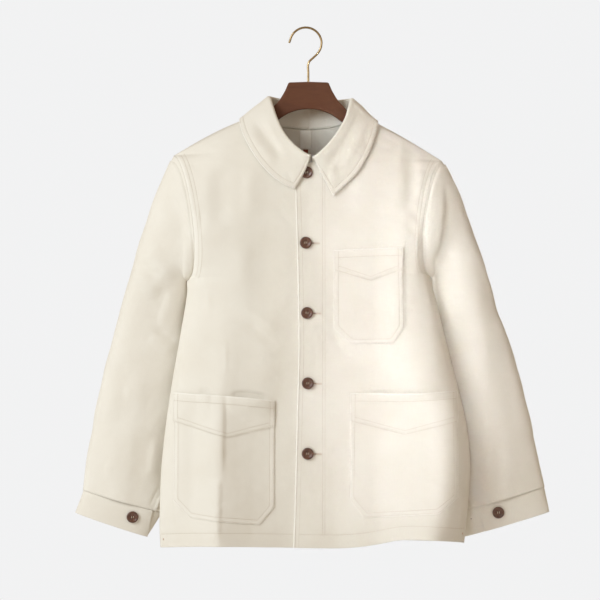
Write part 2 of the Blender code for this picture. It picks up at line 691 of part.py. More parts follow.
# ---------------------------------------------------------------- pockets and labels
# Each pocket's lower panel ends in two cut-off corners, and its upper panel laps over it with
# a V-shaped edge. Points are (x, height), from the upper left round to the right.
POCKETS = {
    "hip_right": dict(
        front="front_right",
        top=((-218.5, -596.5), (-135.0, -601.0), (-55.5, -608.5)),
        v=((-219.0, -644.5), (-132.0, -669.0), (-55.5, -651.5)),
        foot=((-219.3, -772.0), (-192.3, -798.7), (-80.0, -809.5), (-56.0, -781.5)),
    ),
    "hip_left": dict(
        front="front_left",
        top=((67.5, -596.2), (148.0, -597.2), (240.0, -593.5)),
        v=((67.2, -643.0), (155.5, -664.5), (241.0, -643.5)),
        foot=((65.5, -768.0), (91.0, -799.0), (209.0, -789.5), (241.0, -763.5)),
    ),
    "chest": dict(
        front="front_left",
        top=((40.7, -364.2), (96.0, -361.5), (152.6, -359.6)),
        v=((40.7, -397.8), (100.4, -415.4), (153.5, -397.2)),
        foot=((40.7, -490.5), (68.2, -517.3), (137.7, -516.0), (155.0, -489.0)),
    ),
}
LAP_GAP = 0.35
POCKET_TUCK = 9.0  # the lower panel runs up this far under the upper one
LABELS = {
    "neck_label": dict(x=(-14.0, 5.0), z=(-194.5, -166.5), gap=0.5, cloth=0.7),
    "size_tab": dict(x=(-9.0, -1.0), z=(-204.0, -196.0), gap=0.5, cloth=0.6),
    "care_label": dict(x=(-4.0, 14.0), z=(-243.0, -205.5), gap=0.5, cloth=0.6),
}


def cut_sheet(points, faces, outline):
    """The part of a sheet inside a convex outline in the front view, as (points, normals, faces)."""
    sheet = bmesh.new()
    corners = [sheet.verts.new(point) for point in points.reshape(-1, 3)]
    for face in faces:
        sheet.faces.new([corners[i] for i in face])
    middle = np.mean(outline, axis=0)
    for start, end in zip(outline, outline[1:] + outline[:1]):
        away = np.array([end[1] - start[1], 0.0, start[0] - end[0]])
        if np.dot(away[[0, 2]], np.array(start) - middle) < 0:
            away = -away
        bmesh.ops.bisect_plane(
            sheet,
            geom=sheet.verts[:] + sheet.edges[:] + sheet.faces[:],
            dist=0.02,
            plane_co=(start[0], 0.0, start[1]),
            plane_no=away,
            clear_outer=True,
        )
    loose = [vert for vert in sheet.verts if not vert.link_faces]
    bmesh.ops.delete(sheet, geom=loose, context="VERTS")
    sheet.normal_update()
    sheet.verts.index_update()
    kept = np.array([vert.co[:] for vert in sheet.verts])
    normals = np.array([vert.normal[:] for vert in sheet.verts])
    faces = [tuple(vert.index for vert in face.verts) for face in sheet.faces]
    sheet.free()
    return kept, normals, faces


def laid_on(name, sheet, outline, gap, cloth):
    """A piece of cloth cut to an outline and laid on the outside of a sheet."""
    points, normals, faces = cut_sheet(*sheet, outline)
    return wall(name, points, normals, [face[::-1] for face in faces], cloth, gap=gap)


def pocket_pieces(grids):
    pieces = []
    for name, pocket in POCKETS.items():
        points, _ = grids[pocket["front"]]
        sheet = (points, panel_faces(pocket["front"], points))
        left_v, apex, right_v = pocket["v"]
        tuck = max(left_v[1], right_v[1]) + POCKET_TUCK
        lower = [(left_v[0], tuck), (right_v[0], tuck), *pocket["foot"][::-1]]
        upper = [*pocket["top"][::2], right_v, apex, left_v]
        first = LAP_GAP
        second = 2 * LAP_GAP + POCKET_CLOTH
        pieces.append(laid_on(name + "_pocket_lower", sheet, lower, first, POCKET_CLOTH))
        pieces.append(laid_on(name + "_pocket_upper", sheet, upper, second, POCKET_CLOTH))
    return pieces


def labels(grids):
    """The labels hang against the inside of the back."""
    points, normals = grids["back"]
    inside = points - normals * CLOTH
    sheet = (inside, [face[::-1] for face in panel_faces("back", points)])
    pieces = []
    for name, label in LABELS.items():
        (left, right), (low, high) = label["x"], label["z"]
        outline = [(left, high), (right, high), (right, low), (left, low)]
        pieces.append(laid_on(name, sheet, outline, label["gap"], label["cloth"]))
    return pieces


# ---------------------------------------------------------------- buttons
BUTTON_X = (-3.0, -4.6, -2.6, -1.4, -1.6)
BUTTON_TOP, BUTTON_PITCH = -238.5, 114.0
BUTTON_STAND = 0.5  # the thread holds each button this far off the cloth
BUTTON_STEPS = 18
BUTTON_PROFILE = (  # radius and height, from the middle of the face to the middle of the back
    (0.0, 2.2),
    (5.2, 2.4),
    (6.6, 3.4),
    (8.4, 3.6),
    (9.7, 2.6),
    (9.7, 1.4),
    (7.6, 0.2),
    (0.0, 0.0),
)
CUFF_BUTTONS = {"right": (0.08, 0.43), "left": (0.062, 0.42)}  # shares of the turn, and down


def button_mesh():
    mesh = bpy.data.meshes.new("button")
    profile = [(radius * MM, 0.0, height * MM) for radius, height in BUTTON_PROFILE]
    mesh.from_pydata(profile, [(i, i + 1) for i in range(len(profile) - 1)], [])
    return mesh


def button(name, mesh, point, outward):
    """A turned button with its back to the cloth at a point."""
    obj = bpy.data.objects.new(name, mesh)
    screw = obj.modifiers.new("Turned", "SCREW")
    screw.steps = screw.render_steps = BUTTON_STEPS
    screw.use_merge_vertices = True
    screw.merge_threshold = 1e-5
    outward = Vector(outward).normalized()
    obj.location = (Vector(point) + outward * BUTTON_STAND) * MM
    obj.rotation_euler = outward.to_track_quat("Z", "Y").to_euler()
    return obj


def buttons():
    mesh = button_mesh()
    pieces = []
    for i, x in enumerate(BUTTON_X):
        z = BUTTON_TOP - BUTTON_PITCH * i
        reach = BUTTON_PROFILE[4][0]
        y = float(body_y(x, z, False))
        slope_z = float(body_y(x, z + reach, False) - body_y(x, z - reach, False)) / (2 * reach)
        slope_x = float(body_y(x + reach, z, False) - body_y(x - reach, z, False)) / (2 * reach)
        outward = (slope_x, -1.0, slope_z)
        pieces.append(button(f"front_button_{i + 1}", mesh, (x, y, z), outward))
    for side, (turn, down) in CUFF_BUTTONS.items():
        at = cuff_points(side, np.array(down), np.array(turn))
        ahead = cuff_points(side, np.array(down), np.array(turn + 0.01)) - at
        below = cuff_points(side, np.array(down + 0.05), np.array(turn)) - at
        outward = np.cross(ahead, below)
        outward = outward / np.linalg.norm(outward) * -np.sign(outward[1])
        point = at + outward * CUFF_CLOTH / 2
        pieces.append(button(f"cuff_button_{side}", mesh, point, outward))
    return pieces


# ---------------------------------------------------------------- the hanger
BOARD_HALF = 5.5
BOARD_ROUND = 1.5
BOARD_CLEAR = 4.6  # the board's top lies at least this far below the outside of the seam
BOARD_SPACE = 10.0  # and low enough for the cloth's outside to stand this far from its middle
BOARD_TALL = 30.0
BOARD_TIP = 201.0
BOARD_ARM = (88, 104, 122, 142, 162, 180, 192)  # where the arms' heights are worked out
BLOCK_TOP = (  # the block's right half in the front view, from the stem to the neck
    (0.0, -87.6),
    (30.5, -88.6),
    (33.6, -90.4),
    (35.2, -94.5),
    (38.0, -101.0),
    (43.0, -110.0),
    (50.0, -120.5),
    (58.5, -129.0),
    (66.0, -138.5),
    (73.0, -147.0),
)
BOARD_ARCH = (  # the underside, from the neck back to the middle
    (60.0, -157.5),
    (50.5, -150.5),
    (40.0, -143.0),
    (28.0, -137.0),
    (14.0, -133.3),
    (0.0, -132.0),
)
HOOK_WIRE = 1.8
HOOK_RADIUS = 26.0
HOOK_ARC = (math.radians(14), math.radians(178))  # measured round from the left
HOOK_TIP = (-27.2, -23.4)
HOOK_RETURN = (  # from the hook's right side back to the middle and down the stem
    (25.4, -28.5),
    (23.5, -34.5),
    (19.7, -40.4),
    (14.3, -46.1),
    (8.6, -51.2),
    (5.4, -54.6),
    (4.2, -58.5),
    (4.2, -72.0),
    (4.2, -87.3),
)


def arm_heights(side, x):
    """The arm's top and foot: the top lies as high as the board fits between the cloths."""
    ridge = float(shoulder_height(side, x))
    heights = ridge - np.arange(BOARD_CLEAR, 30.0, 0.25)
    space = np.minimum(body_y(x, heights, True), -body_y(x, heights, False))
    top = float(heights[np.argmax(space > BOARD_SPACE)])
    return top, ridge - BOARD_CLEAR - BOARD_TALL


def hanger_board():
    """A flat board with a neck block and two arms, cut from one plank."""
    outline = []
    for side in ("left", "right"):
        sign = SIGN[side]
        half = [(sign * x, z) for x, z in BLOCK_TOP]
        for x in BOARD_ARM:
            half.append((sign * x, arm_heights(side, sign * x)[0]))
        tip_top, tip_foot = arm_heights(side, sign * BOARD_TIP)
        half += [
            (sign * (BOARD_TIP - 2), tip_top - 3),
            (sign * BOARD_TIP, tip_top - 8),
            (sign * (BOARD_TIP - 3), tip_foot + 6),
        ]
        for x in BOARD_ARM[::-2]:
            half.append((sign * x, arm_heights(side, sign * x)[1]))
        half += [(sign * x, z) for x, z in BOARD_ARCH]
        outline += half if side == "left" else half[::-1][1:-1]
    curve = bpy.data.curves.new("hanger_board", "CURVE")
    curve.dimensions = "2D"
    curve.fill_mode = "BOTH"
    curve.extrude = (BOARD_HALF - BOARD_ROUND) * MM
    curve.bevel_depth = BOARD_ROUND * MM
    curve.bevel_resolution = 1
    curve.offset = -BOARD_ROUND * MM
    spline = curve.splines.new("POLY")
    spline.points.add(len(outline) - 1)
    for point, (x, z) in zip(spline.points, outline):
        point.co = (x * MM, z * MM, 0.0, 1.0)
    spline.use_cyclic_u = True
    obj = bpy.data.objects.new("hanger_board", curve)
    obj.rotation_euler = (math.pi / 2, 0, 0)
    return obj


def hanger_hook():
    """A wire hook: its inner top is at the origin, and its stem ends on the board's block."""
    centre_z = HOOK_WIRE - HOOK_RADIUS
    points = [HOOK_TIP]
    for angle in np.linspace(*HOOK_ARC, 15):
        points.append((-HOOK_RADIUS * math.cos(angle), centre_z + HOOK_RADIUS * math.sin(angle)))
    points += HOOK_RETURN
    curve = bpy.data.curves.new("hanger_hook", "CURVE")
    curve.dimensions = "3D"
    curve.bevel_depth = HOOK_WIRE * MM
    curve.bevel_resolution = 2
    curve.use_fill_caps = True
    spline = curve.splines.new("POLY")
    spline.points.add(len(points) - 1)
    for point, (x, z) in zip(spline.points, points):
        point.co = ((x - CENTRE_X) * MM, 0.0, z * MM, 1.0)
    return bpy.data.objects.new("hanger_hook", curve)


# ---------------------------------------------------------------- finishes
FINISHES = {  # colour, roughness and metallic value
    "cloth": ((0.86, 0.80, 0.68), 0.85, 0.0),
    "label": ((0.86, 0.84, 0.78), 0.7, 0.0),
    "tab": ((0.42, 0.13, 0.10), 0.8, 0.0),
    "button": ((0.10, 0.045, 0.028), 0.35, 0.0),
    "wood": ((0.13, 0.047, 0.022), 0.4, 0.0),
    "brass": ((0.62, 0.45, 0.22), 0.3, 1.0),
}
FINISH_OF = {
    "neck_label": "label",
    "care_label": "label",
    "size_tab": "tab",
    "hanger_board": "wood",
    "hanger_hook": "brass",
}


def add_finish(obj):
    kind = FINISH_OF.get(obj.name, "button" if "button" in obj.name else "cloth")
    colour, roughness, metallic = FINISHES[kind]
    material = bpy.data.materials.new(obj.name)
    material.use_nodes = True
    shader = material.node_tree.nodes["Principled BSDF"]
    shader.inputs["Base Color"].default_value = (*colour, 1.0)
    shader.inputs["Roughness"].default_value = roughness
    shader.inputs["Metallic"].default_value = metallic
    if obj.data.materials:
        obj.data = obj.data.copy()
        obj.data.materials[0] = material
    else:
        obj.data.materials.append(material)


def main():
    for obj in list(bpy.data.objects):
        bpy.data.objects.remove(obj)
    jacket = bpy.data.collections.new("chore_jacket")
    bpy.context.scene.collection.children.link(jacket)
    centre = bpy.data.objects.new("jacket_centre", None)
    centre.location = (CENTRE_X * MM, 0, 0)
    jacket.objects.link(centre)
    grids, arm_seams = body_grids()
    pieces = body_panels(grids)
    for side in SIGN:
        pieces += [sleeve(side, arm_seams), cuff(side)]
    pieces.append(collar_object(grids))
    pieces += pocket_pieces(grids) + labels(grids) + buttons()
    pieces += [hanger_board(), hanger_hook()]
    for piece in pieces:
        jacket.objects.link(piece)
        piece.parent = centre
        add_finish(piece)


main()
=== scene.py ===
"""A chore jacket on its hanger: its cloth, sewing, buttons, labels and hanger over the solid frame.

It is laid out as a Blender add-on. Sizes are in millimetres unless a property says otherwise:
X runs to the wearer's left, Y to the back and Z up, and heights are measured down from the hook.
The forms repeat those of the solids, so that each fine piece lies where its solid does.
"""

import json
import math
from functools import lru_cache

import bpy
import numpy as np
from bpy.props import FloatProperty, FloatVectorProperty, PointerProperty
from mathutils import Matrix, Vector

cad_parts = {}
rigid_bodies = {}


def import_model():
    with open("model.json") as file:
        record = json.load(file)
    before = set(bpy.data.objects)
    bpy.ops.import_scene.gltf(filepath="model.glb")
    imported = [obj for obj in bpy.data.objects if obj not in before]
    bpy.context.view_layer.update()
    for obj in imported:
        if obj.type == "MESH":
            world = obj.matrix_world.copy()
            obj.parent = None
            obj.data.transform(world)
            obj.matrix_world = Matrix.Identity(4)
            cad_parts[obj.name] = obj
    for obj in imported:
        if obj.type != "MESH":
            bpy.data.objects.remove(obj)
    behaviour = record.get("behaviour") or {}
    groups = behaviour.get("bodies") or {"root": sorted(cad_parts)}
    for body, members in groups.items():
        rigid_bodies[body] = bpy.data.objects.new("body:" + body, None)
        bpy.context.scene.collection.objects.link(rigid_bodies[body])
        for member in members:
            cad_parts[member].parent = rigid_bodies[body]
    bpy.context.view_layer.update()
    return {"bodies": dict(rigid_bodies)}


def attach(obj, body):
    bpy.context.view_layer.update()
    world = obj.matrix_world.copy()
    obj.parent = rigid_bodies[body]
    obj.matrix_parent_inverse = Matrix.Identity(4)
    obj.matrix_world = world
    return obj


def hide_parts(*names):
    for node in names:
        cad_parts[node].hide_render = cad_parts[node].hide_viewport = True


bl_info = {
    "name": "Chore Jacket",
    "version": (1, 0, 0),
    "blender": (4, 5, 0),
    "location": "3D View > Sidebar > Jacket",
    "description": "Builds the cloth, sewing, buttons and hanger of a chore jacket",
    "category": "Object",
}

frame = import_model()
BODY = sorted(frame["bodies"])[0]


# ---------------------------------------------------------------- the jacket's form
MM = 0.001
CENTRE_X = 4.6  # the jacket's centre line stands this far from the hook's point
SEAM_GAP = 0.3
CLOTH = 1.8
COLLAR_CLOTH = 2.6
CUFF_CLOTH = 2.4
POCKET_CLOTH = 1.3
HEM_HEIGHT = -850.0
NECK_POINT = (80.0, 0.0, -139.0)
SHOULDER_Y = 0.0


def table(columns, *rows):
    """A table with named columns, a row for each section."""
    return dict(zip(columns.split(), np.array(rows, float).T))


def smooth(at, knots, values):
    """A smooth curve through the values at rising knots."""
    at = np.asarray(at, float)
    values = np.asarray(values, float)
    slopes = np.gradient(values, knots, axis=0)
    i = np.clip(np.searchsorted(knots, at, side="right") - 1, 0, len(knots) - 2)
    step = knots[i + 1] - knots[i]
    t = np.clip((at - knots[i]) / step, 0.0, 1.0)
    if values.ndim > 1:
        t, step = t[..., None], step[..., None]
    return (
        (1 + 2 * t) * (1 - t) ** 2 * values[i]
        + t * (1 - t) ** 2 * step * slopes[i]
        + t**2 * (3 - 2 * t) * values[i + 1]
        - t**2 * (1 - t) * step * slopes[i + 1]
    )


def eased(t):
    """0 to 1 with a soft start and end."""
    t = np.clip(t, 0.0, 1.0)
    return t * t * (3 - 2 * t)


def hump(distance, width):
    """1 at no distance, falling to 0 beyond the width."""
    return np.exp(-((distance / width) ** 2))


def grids_of(a, b):
    """Both values as arrays of one shape."""
    return np.broadcast_arrays(np.asarray(a, float), np.asarray(b, float))


def unit(vectors):
    return vectors / np.maximum(np.linalg.norm(vectors, axis=-1, keepdims=True), 1e-12)


# The side edges of the hanging body, from the hem up to the underarm.
SIDES = table(
    "height right left",
    (-850, -243, 255.5), (-818, -244.5, 258.5), (-769, -243.8, 262.7), (-729, -242.3, 264.9),
    (-672, -237, 261.9), (-612, -229, 250.4), (-573, -222.8, 240.6), (-495, -209.3, 221.2),
    (-444, -200.8, 208.7), (-402, -196, 197),
)
SIDE_Y = table("height y", (-850, -4), (-600, -2), (-402, 2))
# Each armhole is an oval: its tip, its underarm, how far its front and back seams are scooped
# towards the body, and how far they stand out to the front and the back.
ARMHOLES = {
    "right": dict(tip=(-221.2, -208.4), under=(-196.5, -408.5), scoop=(19, 14), reach=(34, 34)),
    "left": dict(tip=(218.6, -217.2), under=(197.0, -402.0), scoop=(19, 14), reach=(34, 34)),
}
UNDERARM_Y = 2.0
UNDERARM_GAP = 1.0  # the sleeve's lowest point stands this much higher than the body's
UNDERARM_TURN = (1.6, 1.2, 0.6)  # how far the armhole's cloth faces down at its lowest rows
SIGN = {"right": -1.0, "left": 1.0}
SHOULDER_CROWN = {"right": 5.0, "left": 3.0}  # how far each shoulder seam bows up
RIDGE_ROUND, RIDGE_RUN = 20.0, 60.0
EDGE_ROUND = 6.0
RISE_RUNS = 2.6  # a turn is over after this many of its runs
# How far the front and back bulge, and over what run they do so from each side.
FRONT = table(
    "height depth right_run left_run",
    (-850, 50, 55, 26), (-700, 50, 55, 26), (-580, 49, 55, 32), (-450, 47, 55, 50),
    (-330, 45, 55, 55), (-222, 46, 60, 60), (-139, 40, 60, 60),
)
BACK = table(
    "height depth right_run left_run",
    (-850, 42, 60, 60), (-600, 42, 60, 60), (-400, 42, 60, 60), (-222, 40, 60, 60),
    (-139, 36, 60, 60),
)
FRONT_HEM = table(
    "x height",
    (-244, -851), (-200, -846.5), (-148, -843.5), (-100, -845), (-55, -846.5), (0, -848),
    (60, -848), (110, -841.8), (144, -834), (217, -833.6), (257, -840),
)
# Large folds: from a top point to a foot, the width of each flank, the roundness of the crest,
# and how far the crest stands out at its top and foot.
FRONT_FOLDS = table(
    "x0 z0 x1 z1 width round top_rise foot_rise",
    (-136, -330, -148, -870, 44, 10, 0, 30),
    (176, -380, 198, -870, 46, 22, 0, 40),
    (46, -560, 40, -870, 34, 20, 0, -7),
    (118, -170, 112, -330, 26, 12, 4, -4),
)
BACK_FOLDS = table(
    "x0 z0 x1 z1 width round top_rise foot_rise",
    (-90, -260, -118, -870, 38, 18, 0, 11),
    (70, -330, 96, -870, 40, 20, 0, 12),
    (-10, -420, -14, -870, 34, 16, 0, -7),
)
PLACKET_EDGE = table(
    "height x", (-850, -25), (-760, -22), (-650, -19.5), (-520, -16.5), (-430, -17.5), (-222, -23)
)
UNDER_EDGE_X = 22.0  # the buttoned-under front ends here
OVERLAP_STEP = 2.6
OVERLAP_EASE = 60.0
FRONT_NECKLINE = table(
    "step inward height",
    (0, 1.00, -224), (1, 0.74, -222), (2, 0.48, -208.5), (3, 0.26, -190), (4, 0.10, -170),
    (5, 0.03, -154), (6, 0.006, -144), (7, 0.00, -139),
)
BACK_NECK_DROP = 25.0


def armhole(side, angle):
    """Points round an armhole: 0 at the shoulder tip, then the front, pi at the underarm."""
    hole = ARMHOLES[side]
    tip, under = np.array(hole["tip"]), np.array(hole["under"])
    angle = np.asarray(angle, float)
    front = np.sin(angle) >= 0
    out = np.abs(np.sin(angle))
    share = (1 - np.cos(angle)) / 2
    x = tip[0] + (under[0] - tip[0]) * share
    x = x - SIGN[side] * out * np.where(front, hole["scoop"][0], hole["scoop"][1])
    y = SHOULDER_Y + (UNDERARM_Y - SHOULDER_Y) * share
    y = y + out * np.where(front, -hole["reach"][0], hole["reach"][1])
    z = tip[1] + (under[1] - tip[1]) * share
    return np.stack([x, y, z], axis=-1)


def armhole_at(side, z, back):
    """(x, y) of the armhole's front or back seam at a height."""
    top, bottom = ARMHOLES[side]["tip"][1], ARMHOLES[side]["under"][1]
    share = np.clip((top - z) / (top - bottom), 0.0, 1.0)
    angle = np.arccos(1 - 2 * share)
    points = armhole(side, -angle if back else angle)
    return points[..., 0], points[..., 1]


def outer_edge(side, z, back):
    """(x, y) where the panel ends at a height: the side edge, and the armhole above it."""
    z = np.asarray(z, float)
    arm_x, arm_y = armhole_at(side, z, back)
    side_x = smooth(z, SIDES["height"], SIDES[side])
    side_y = smooth(z, SIDE_Y["height"], SIDE_Y["y"])
    low = z < ARMHOLES[side]["under"][1]
    return np.where(low, side_x, arm_x), np.where(low, side_y, arm_y)


def shoulder_height(side, x):
    """Height of the shoulder seam at a distance from the centre line."""
    neck_x, _, neck_z = NECK_POINT
    tip_x, tip_z = ARMHOLES[side]["tip"]
    share = (np.abs(x) - neck_x) / (abs(tip_x) - neck_x)
    bow = np.sin(math.pi * np.clip(share, 0, 1)) * SHOULDER_CROWN[side]
    return neck_z + (tip_z - neck_z) * share + bow


def ridge_height(x):
    """Height of the shoulder seam on either side of the centre line."""
    return np.where(x < 0, shoulder_height("right", x), shoulder_height("left", x))


def rounded_rise(distance, roundness, run):
    """0 at an edge with a rounded turn, rising to 1 where the turn is over."""
    distance = np.maximum(distance, 0.0)
    gone = np.sqrt(distance**2 + 2 * roundness * distance) / (RISE_RUNS * run)
    return 1 - (1 - np.minimum(gone, 1.0)) ** 3


def fold_rise(folds, x, z):
    """How far the folds push a panel outwards at (x, z)."""
    total = np.zeros(np.broadcast(x, z).shape)
    for row in zip(*folds.values()):
        x0, z0, x1, z1, width, roundness, top_rise, foot_rise = row
        along = np.clip((z0 - z) / (z0 - z1), 0.0, 1.0)
        away = x - (x0 + (x1 - x0) * along)
        crest = np.exp(-(np.sqrt(away**2 + roundness**2) - roundness) / width)
        total = total + crest * eased(along * 1.25) * (top_rise + (foot_rise - top_rise) * along)
    return total


def body_y(x, z, back):
    """Y of the body's outer surface at (x, z), on the front or on the back."""
    x, z = grids_of(x, z)
    form = BACK if back else FRONT
    bulge = smooth(z, form["height"], form["depth"])
    bulge = bulge + fold_rise(BACK_FOLDS if back else FRONT_FOLDS, x, z)
    fill = np.ones_like(x)
    edge_y = np.zeros_like(x)
    for side in ("right", "left"):
        x_edge, y_edge = outer_edge(side, z, back)
        run = smooth(z, form["height"], form[side + "_run"])
        fill = fill * rounded_rise((x_edge - x) * SIGN[side], EDGE_ROUND, run)
        edge_y = np.where(x * SIGN[side] >= 0, y_edge, edge_y)
    ridge = ridge_height(x)
    fill = fill * rounded_rise(ridge - z, RIDGE_ROUND, RIDGE_RUN)
    return edge_y + ((bulge if back else -bulge) - edge_y) * fill


def front_y(side, x, z):
    """The front's surface: the right front passes behind the left one at the placket."""
    y = body_y(x, z, back=False)
    if side == "right":
        edge = smooth(z, PLACKET_EDGE["height"], PLACKET_EDGE["x"])
        y = y + OVERLAP_STEP * eased((x - edge + OVERLAP_EASE) / OVERLAP_EASE)
    return y


def grid_normals(points):
    """Unit normals of a grid of points, by the run of its rows and columns."""
    across = np.gradient(points, axis=1)
    up = np.gradient(points, axis=0)
    return unit(np.cross(across, up))


def seam_shift(points, normals, inside):
    """Half a seam's gap, from each point of the seam into the panel."""
    along = np.gradient(points, axis=0)
    into = np.cross(unit(along), normals)
    into = unit(into) * np.sign(np.sum(into * inside, axis=-1, keepdims=True))
    return into * SEAM_GAP / 2


def ridge_normal(side):
    """Straight out of a shoulder seam: both of its cloths turn this way along it."""
    neck_x, _, neck_z = NECK_POINT
    tip_x, tip_z = ARMHOLES[side]["tip"]
    run, drop = abs(tip_x) - neck_x, neck_z - tip_z
    return unit(np.array([SIGN[side] * drop, 0.0, run]))


# From the armhole to the cuff's seam: the sleeve's outer and inner points, and half its depth.
SLEEVES = {
    "right": table(
        "share outer_x outer_y outer_z inner_x inner_y inner_z half",
        (0.00, -221.2, 0, -208.4, -196.5, 2, -408.5, 34),
        (0.04, -231.5, 2, -230.5, -202.9, 7, -413.8, 33.5),
        (0.08, -241.3, 4, -252, -200.5, 15, -420, 33),
        (0.20, -263, 12, -309, -196, 28, -450, 31),
        (0.35, -287.6, 20, -387.7, -198, 33, -500, 29),
        (0.50, -309, 25, -464.1, -200, 34, -560, 27),
        (0.65, -327.3, 27, -528.6, -208, 34, -620, 26),
        (0.80, -347.5, 27, -619.3, -222, 33, -690, 24),
        (0.92, -364.1, 26, -702, -234, 32, -752, 21),
        (1.00, -370.8, 25, -760, -240, 31, -797, 18),
    ),
    "left": table(
        "share outer_x outer_y outer_z inner_x inner_y inner_z half",
        (0.00, 218.6, 0, -217.2, 197, 2, -402, 34),
        (0.04, 229, 2, -235, 203.8, 6.5, -407.2, 33.5),
        (0.08, 239, 4, -253, 203.5, 14, -413.5, 33),
        (0.20, 259, 12, -303, 202, 28, -446, 31),
        (0.35, 286.8, 20, -385, 209, 33, -500, 29),
        (0.50, 310.3, 25, -462, 216, 34, -560, 27),
        (0.65, 335, 27, -530, 228, 34, -620, 26),
        (0.80, 359, 27, -620, 241, 33, -690, 24),
        (0.92, 377.4, 26, -702, 249, 32, -750, 21),
        (1.00, 388.4, 25, -754.8, 255, 31, -793, 18),
    ),
}
SCOOP_END = (0.32, 0.06)  # the scoop has faded out by these shares, outside and under the arm
SLEEVE_FOLDS = {
    "right": table(
        "x0 z0 x1 z1 width round top_rise foot_rise",
        (-238, -270, -318, -520, 20, 10, 5, 4),
        (-280, -560, -300, -760, 18, 8, 5, 3),
    ),
    "left": table(
        "x0 z0 x1 z1 width round top_rise foot_rise",
        (246, -270, 290, -500, 18, 10, 5, 6),
        (318, -560, 330, -760, 20, 9, 5, 3),
    ),
}
# The cuff's lower edge, and the share of its width where its upper end lies, at its top and foot.
CUFF_FOOT = {
    "right": dict(outer=(-384.5, -796.8), inner=(-265.5, -837.0), end=(0.867, 0.985)),
    "left": dict(outer=(396.6, -795.2), inner=(254.0, -838.0), end=(0.816, 0.735)),
}
CUFF_UNDERLAP = math.radians(75)  # the under end reaches this far round the front
CUFF_LAP = 1.9  # the two ends lie this far out and in from the middle
CUFF_HALF = 16.0
CUFF_SEAM_GAP = 0.5


def sleeve_points(side, share, angle):
    """The sleeve's outer surface: share runs down it, and the angle round it as on the armhole."""
    form = SLEEVES[side]
    share, angle = np.broadcast_arrays(share, angle)
    at = {key: smooth(share, form["share"], form[key]) for key in form if key != "share"}
    across = (1 - np.cos(angle)) / 2
    out = np.sin(angle)
    scoop = np.where(out >= 0, *ARMHOLES[side]["scoop"])
    fade = 1 - eased(share / (SCOOP_END[0] + (SCOOP_END[1] - SCOOP_END[0]) * across))
    x = at["outer_x"] + (at["inner_x"] - at["outer_x"]) * across
    z = at["outer_z"] + (at["inner_z"] - at["outer_z"]) * across
    folds = fold_rise(SLEEVE_FOLDS[side], x, z) * np.maximum(out, 0) * (1 - fade)
    x = x - SIGN[side] * np.abs(out) * scoop * fade
    y = at["outer_y"] + (at["inner_y"] - at["outer_y"]) * across - at["half"] * out - folds
    return np.stack([x, y, z], axis=-1)


def cuff_points(side, down, turn):
    """The cuff's middle surface: down runs 0 to 1, and turn 0 to 1 from its upper end on."""
    form, foot = SLEEVES[side], CUFF_FOOT[side]
    top_outer = np.array([form["outer_x"][-1], form["outer_z"][-1]])
    top_inner = np.array([form["inner_x"][-1], form["inner_z"][-1]])
    down, turn = np.broadcast_arrays(down, turn)
    end_share = foot["end"][0] + (foot["end"][1] - foot["end"][0]) * down
    start = np.arccos(1 - 2 * end_share)
    angle = start + (CUFF_UNDERLAP - 2 * math.pi - start) * turn
    lap = CUFF_LAP * (1 - 2 * eased(turn))
    outer = top_outer + (np.array(foot["outer"]) - top_outer) * down[..., None]
    inner = top_inner + (np.array(foot["inner"]) - top_inner) * down[..., None]
    half_width = np.linalg.norm(inner - outer, axis=-1) / 2
    half_depth = form["half"][-1] + (CUFF_HALF - form["half"][-1]) * down - CUFF_CLOTH / 2
    across = unit(outer - inner) * ((half_width - CUFF_CLOTH / 2 + lap) * np.cos(angle))[..., None]
    xz = (outer + inner) / 2 + across
    y = form["outer_y"][-1] + (form["inner_y"][-1] - form["outer_y"][-1]) * (1 - np.cos(angle)) / 2
    y = y - (half_depth + lap) * np.sin(angle)
    return np.stack([xz[..., 0], y, xz[..., 1]], axis=-1)


# Sections of the collar round the neckline, from its right front end to its left: where it
# folds over, where its edge lies on the body, and how far it stands off the body there.
COLLAR = table(
    "share fold_x fold_y fold_z edge_x edge_z lift",
    (0.00, 3, -53, -212, -23, -266, 6.5),
    (0.06, -9, -54, -206, -43.5, -256, 6.5),
    (0.12, -26, -50, -192, -66, -238, 5.5),
    (0.18, -42, -42, -171, -90.5, -208, 5),
    (0.23, -53, -30, -146, -107, -177, 5),
    (0.265, -59, -17, -127, -112, -162, 5),
    (0.29, -62, -8, -117, -113.3, -156, 4.5),
    (0.31, -63.5, 0, -113, -113.5, -152, 4.5),
    (0.33, -63, 9, -112, -113, -156, 4.5),
    (0.36, -59, 19, -112, -109, -165, 5),
    (0.40, -46, 28, -114, -93, -177, 5),
    (0.45, -24, 34, -117, -52, -184, 5),
    (0.50, 2, 36, -118, 2, -186, 5),
    (0.55, 27, 34, -118, 54, -184, 5),
    (0.60, 51, 28, -116, 94, -178, 5),
    (0.64, 65, 19, -115, 110, -166, 5),
    (0.67, 69.5, 9, -115, 113.5, -158, 4.5),
    (0.69, 70.5, 0, -116, 114, -153, 4.5),
    (0.71, 69.5, -8, -119, 113.7, -157, 4.5),
    (0.735, 66.5, -16, -128, 112.5, -163, 5),
    (0.77, 61, -29, -147, 109.5, -178, 5),
    (0.82, 48.5, -41, -171, 98, -208, 5),
    (0.88, 33, -49, -192, 79, -239, 5),
    (0.94, 17, -53, -208, 58.5, -260, 5),
    (1.00, 7, -53, -215, 40, -277, 5),
)
COLLAR_END_X = (2.0, 6.0)  # where the collar's ends meet the neckline
COLLAR_FOLD_RADIUS = 3.2
COLLAR_ARC = math.radians(72)
COLLAR_SEAM_GAP = 0.6
RIDGE_STEP = 0.5  # for reading the body's slope


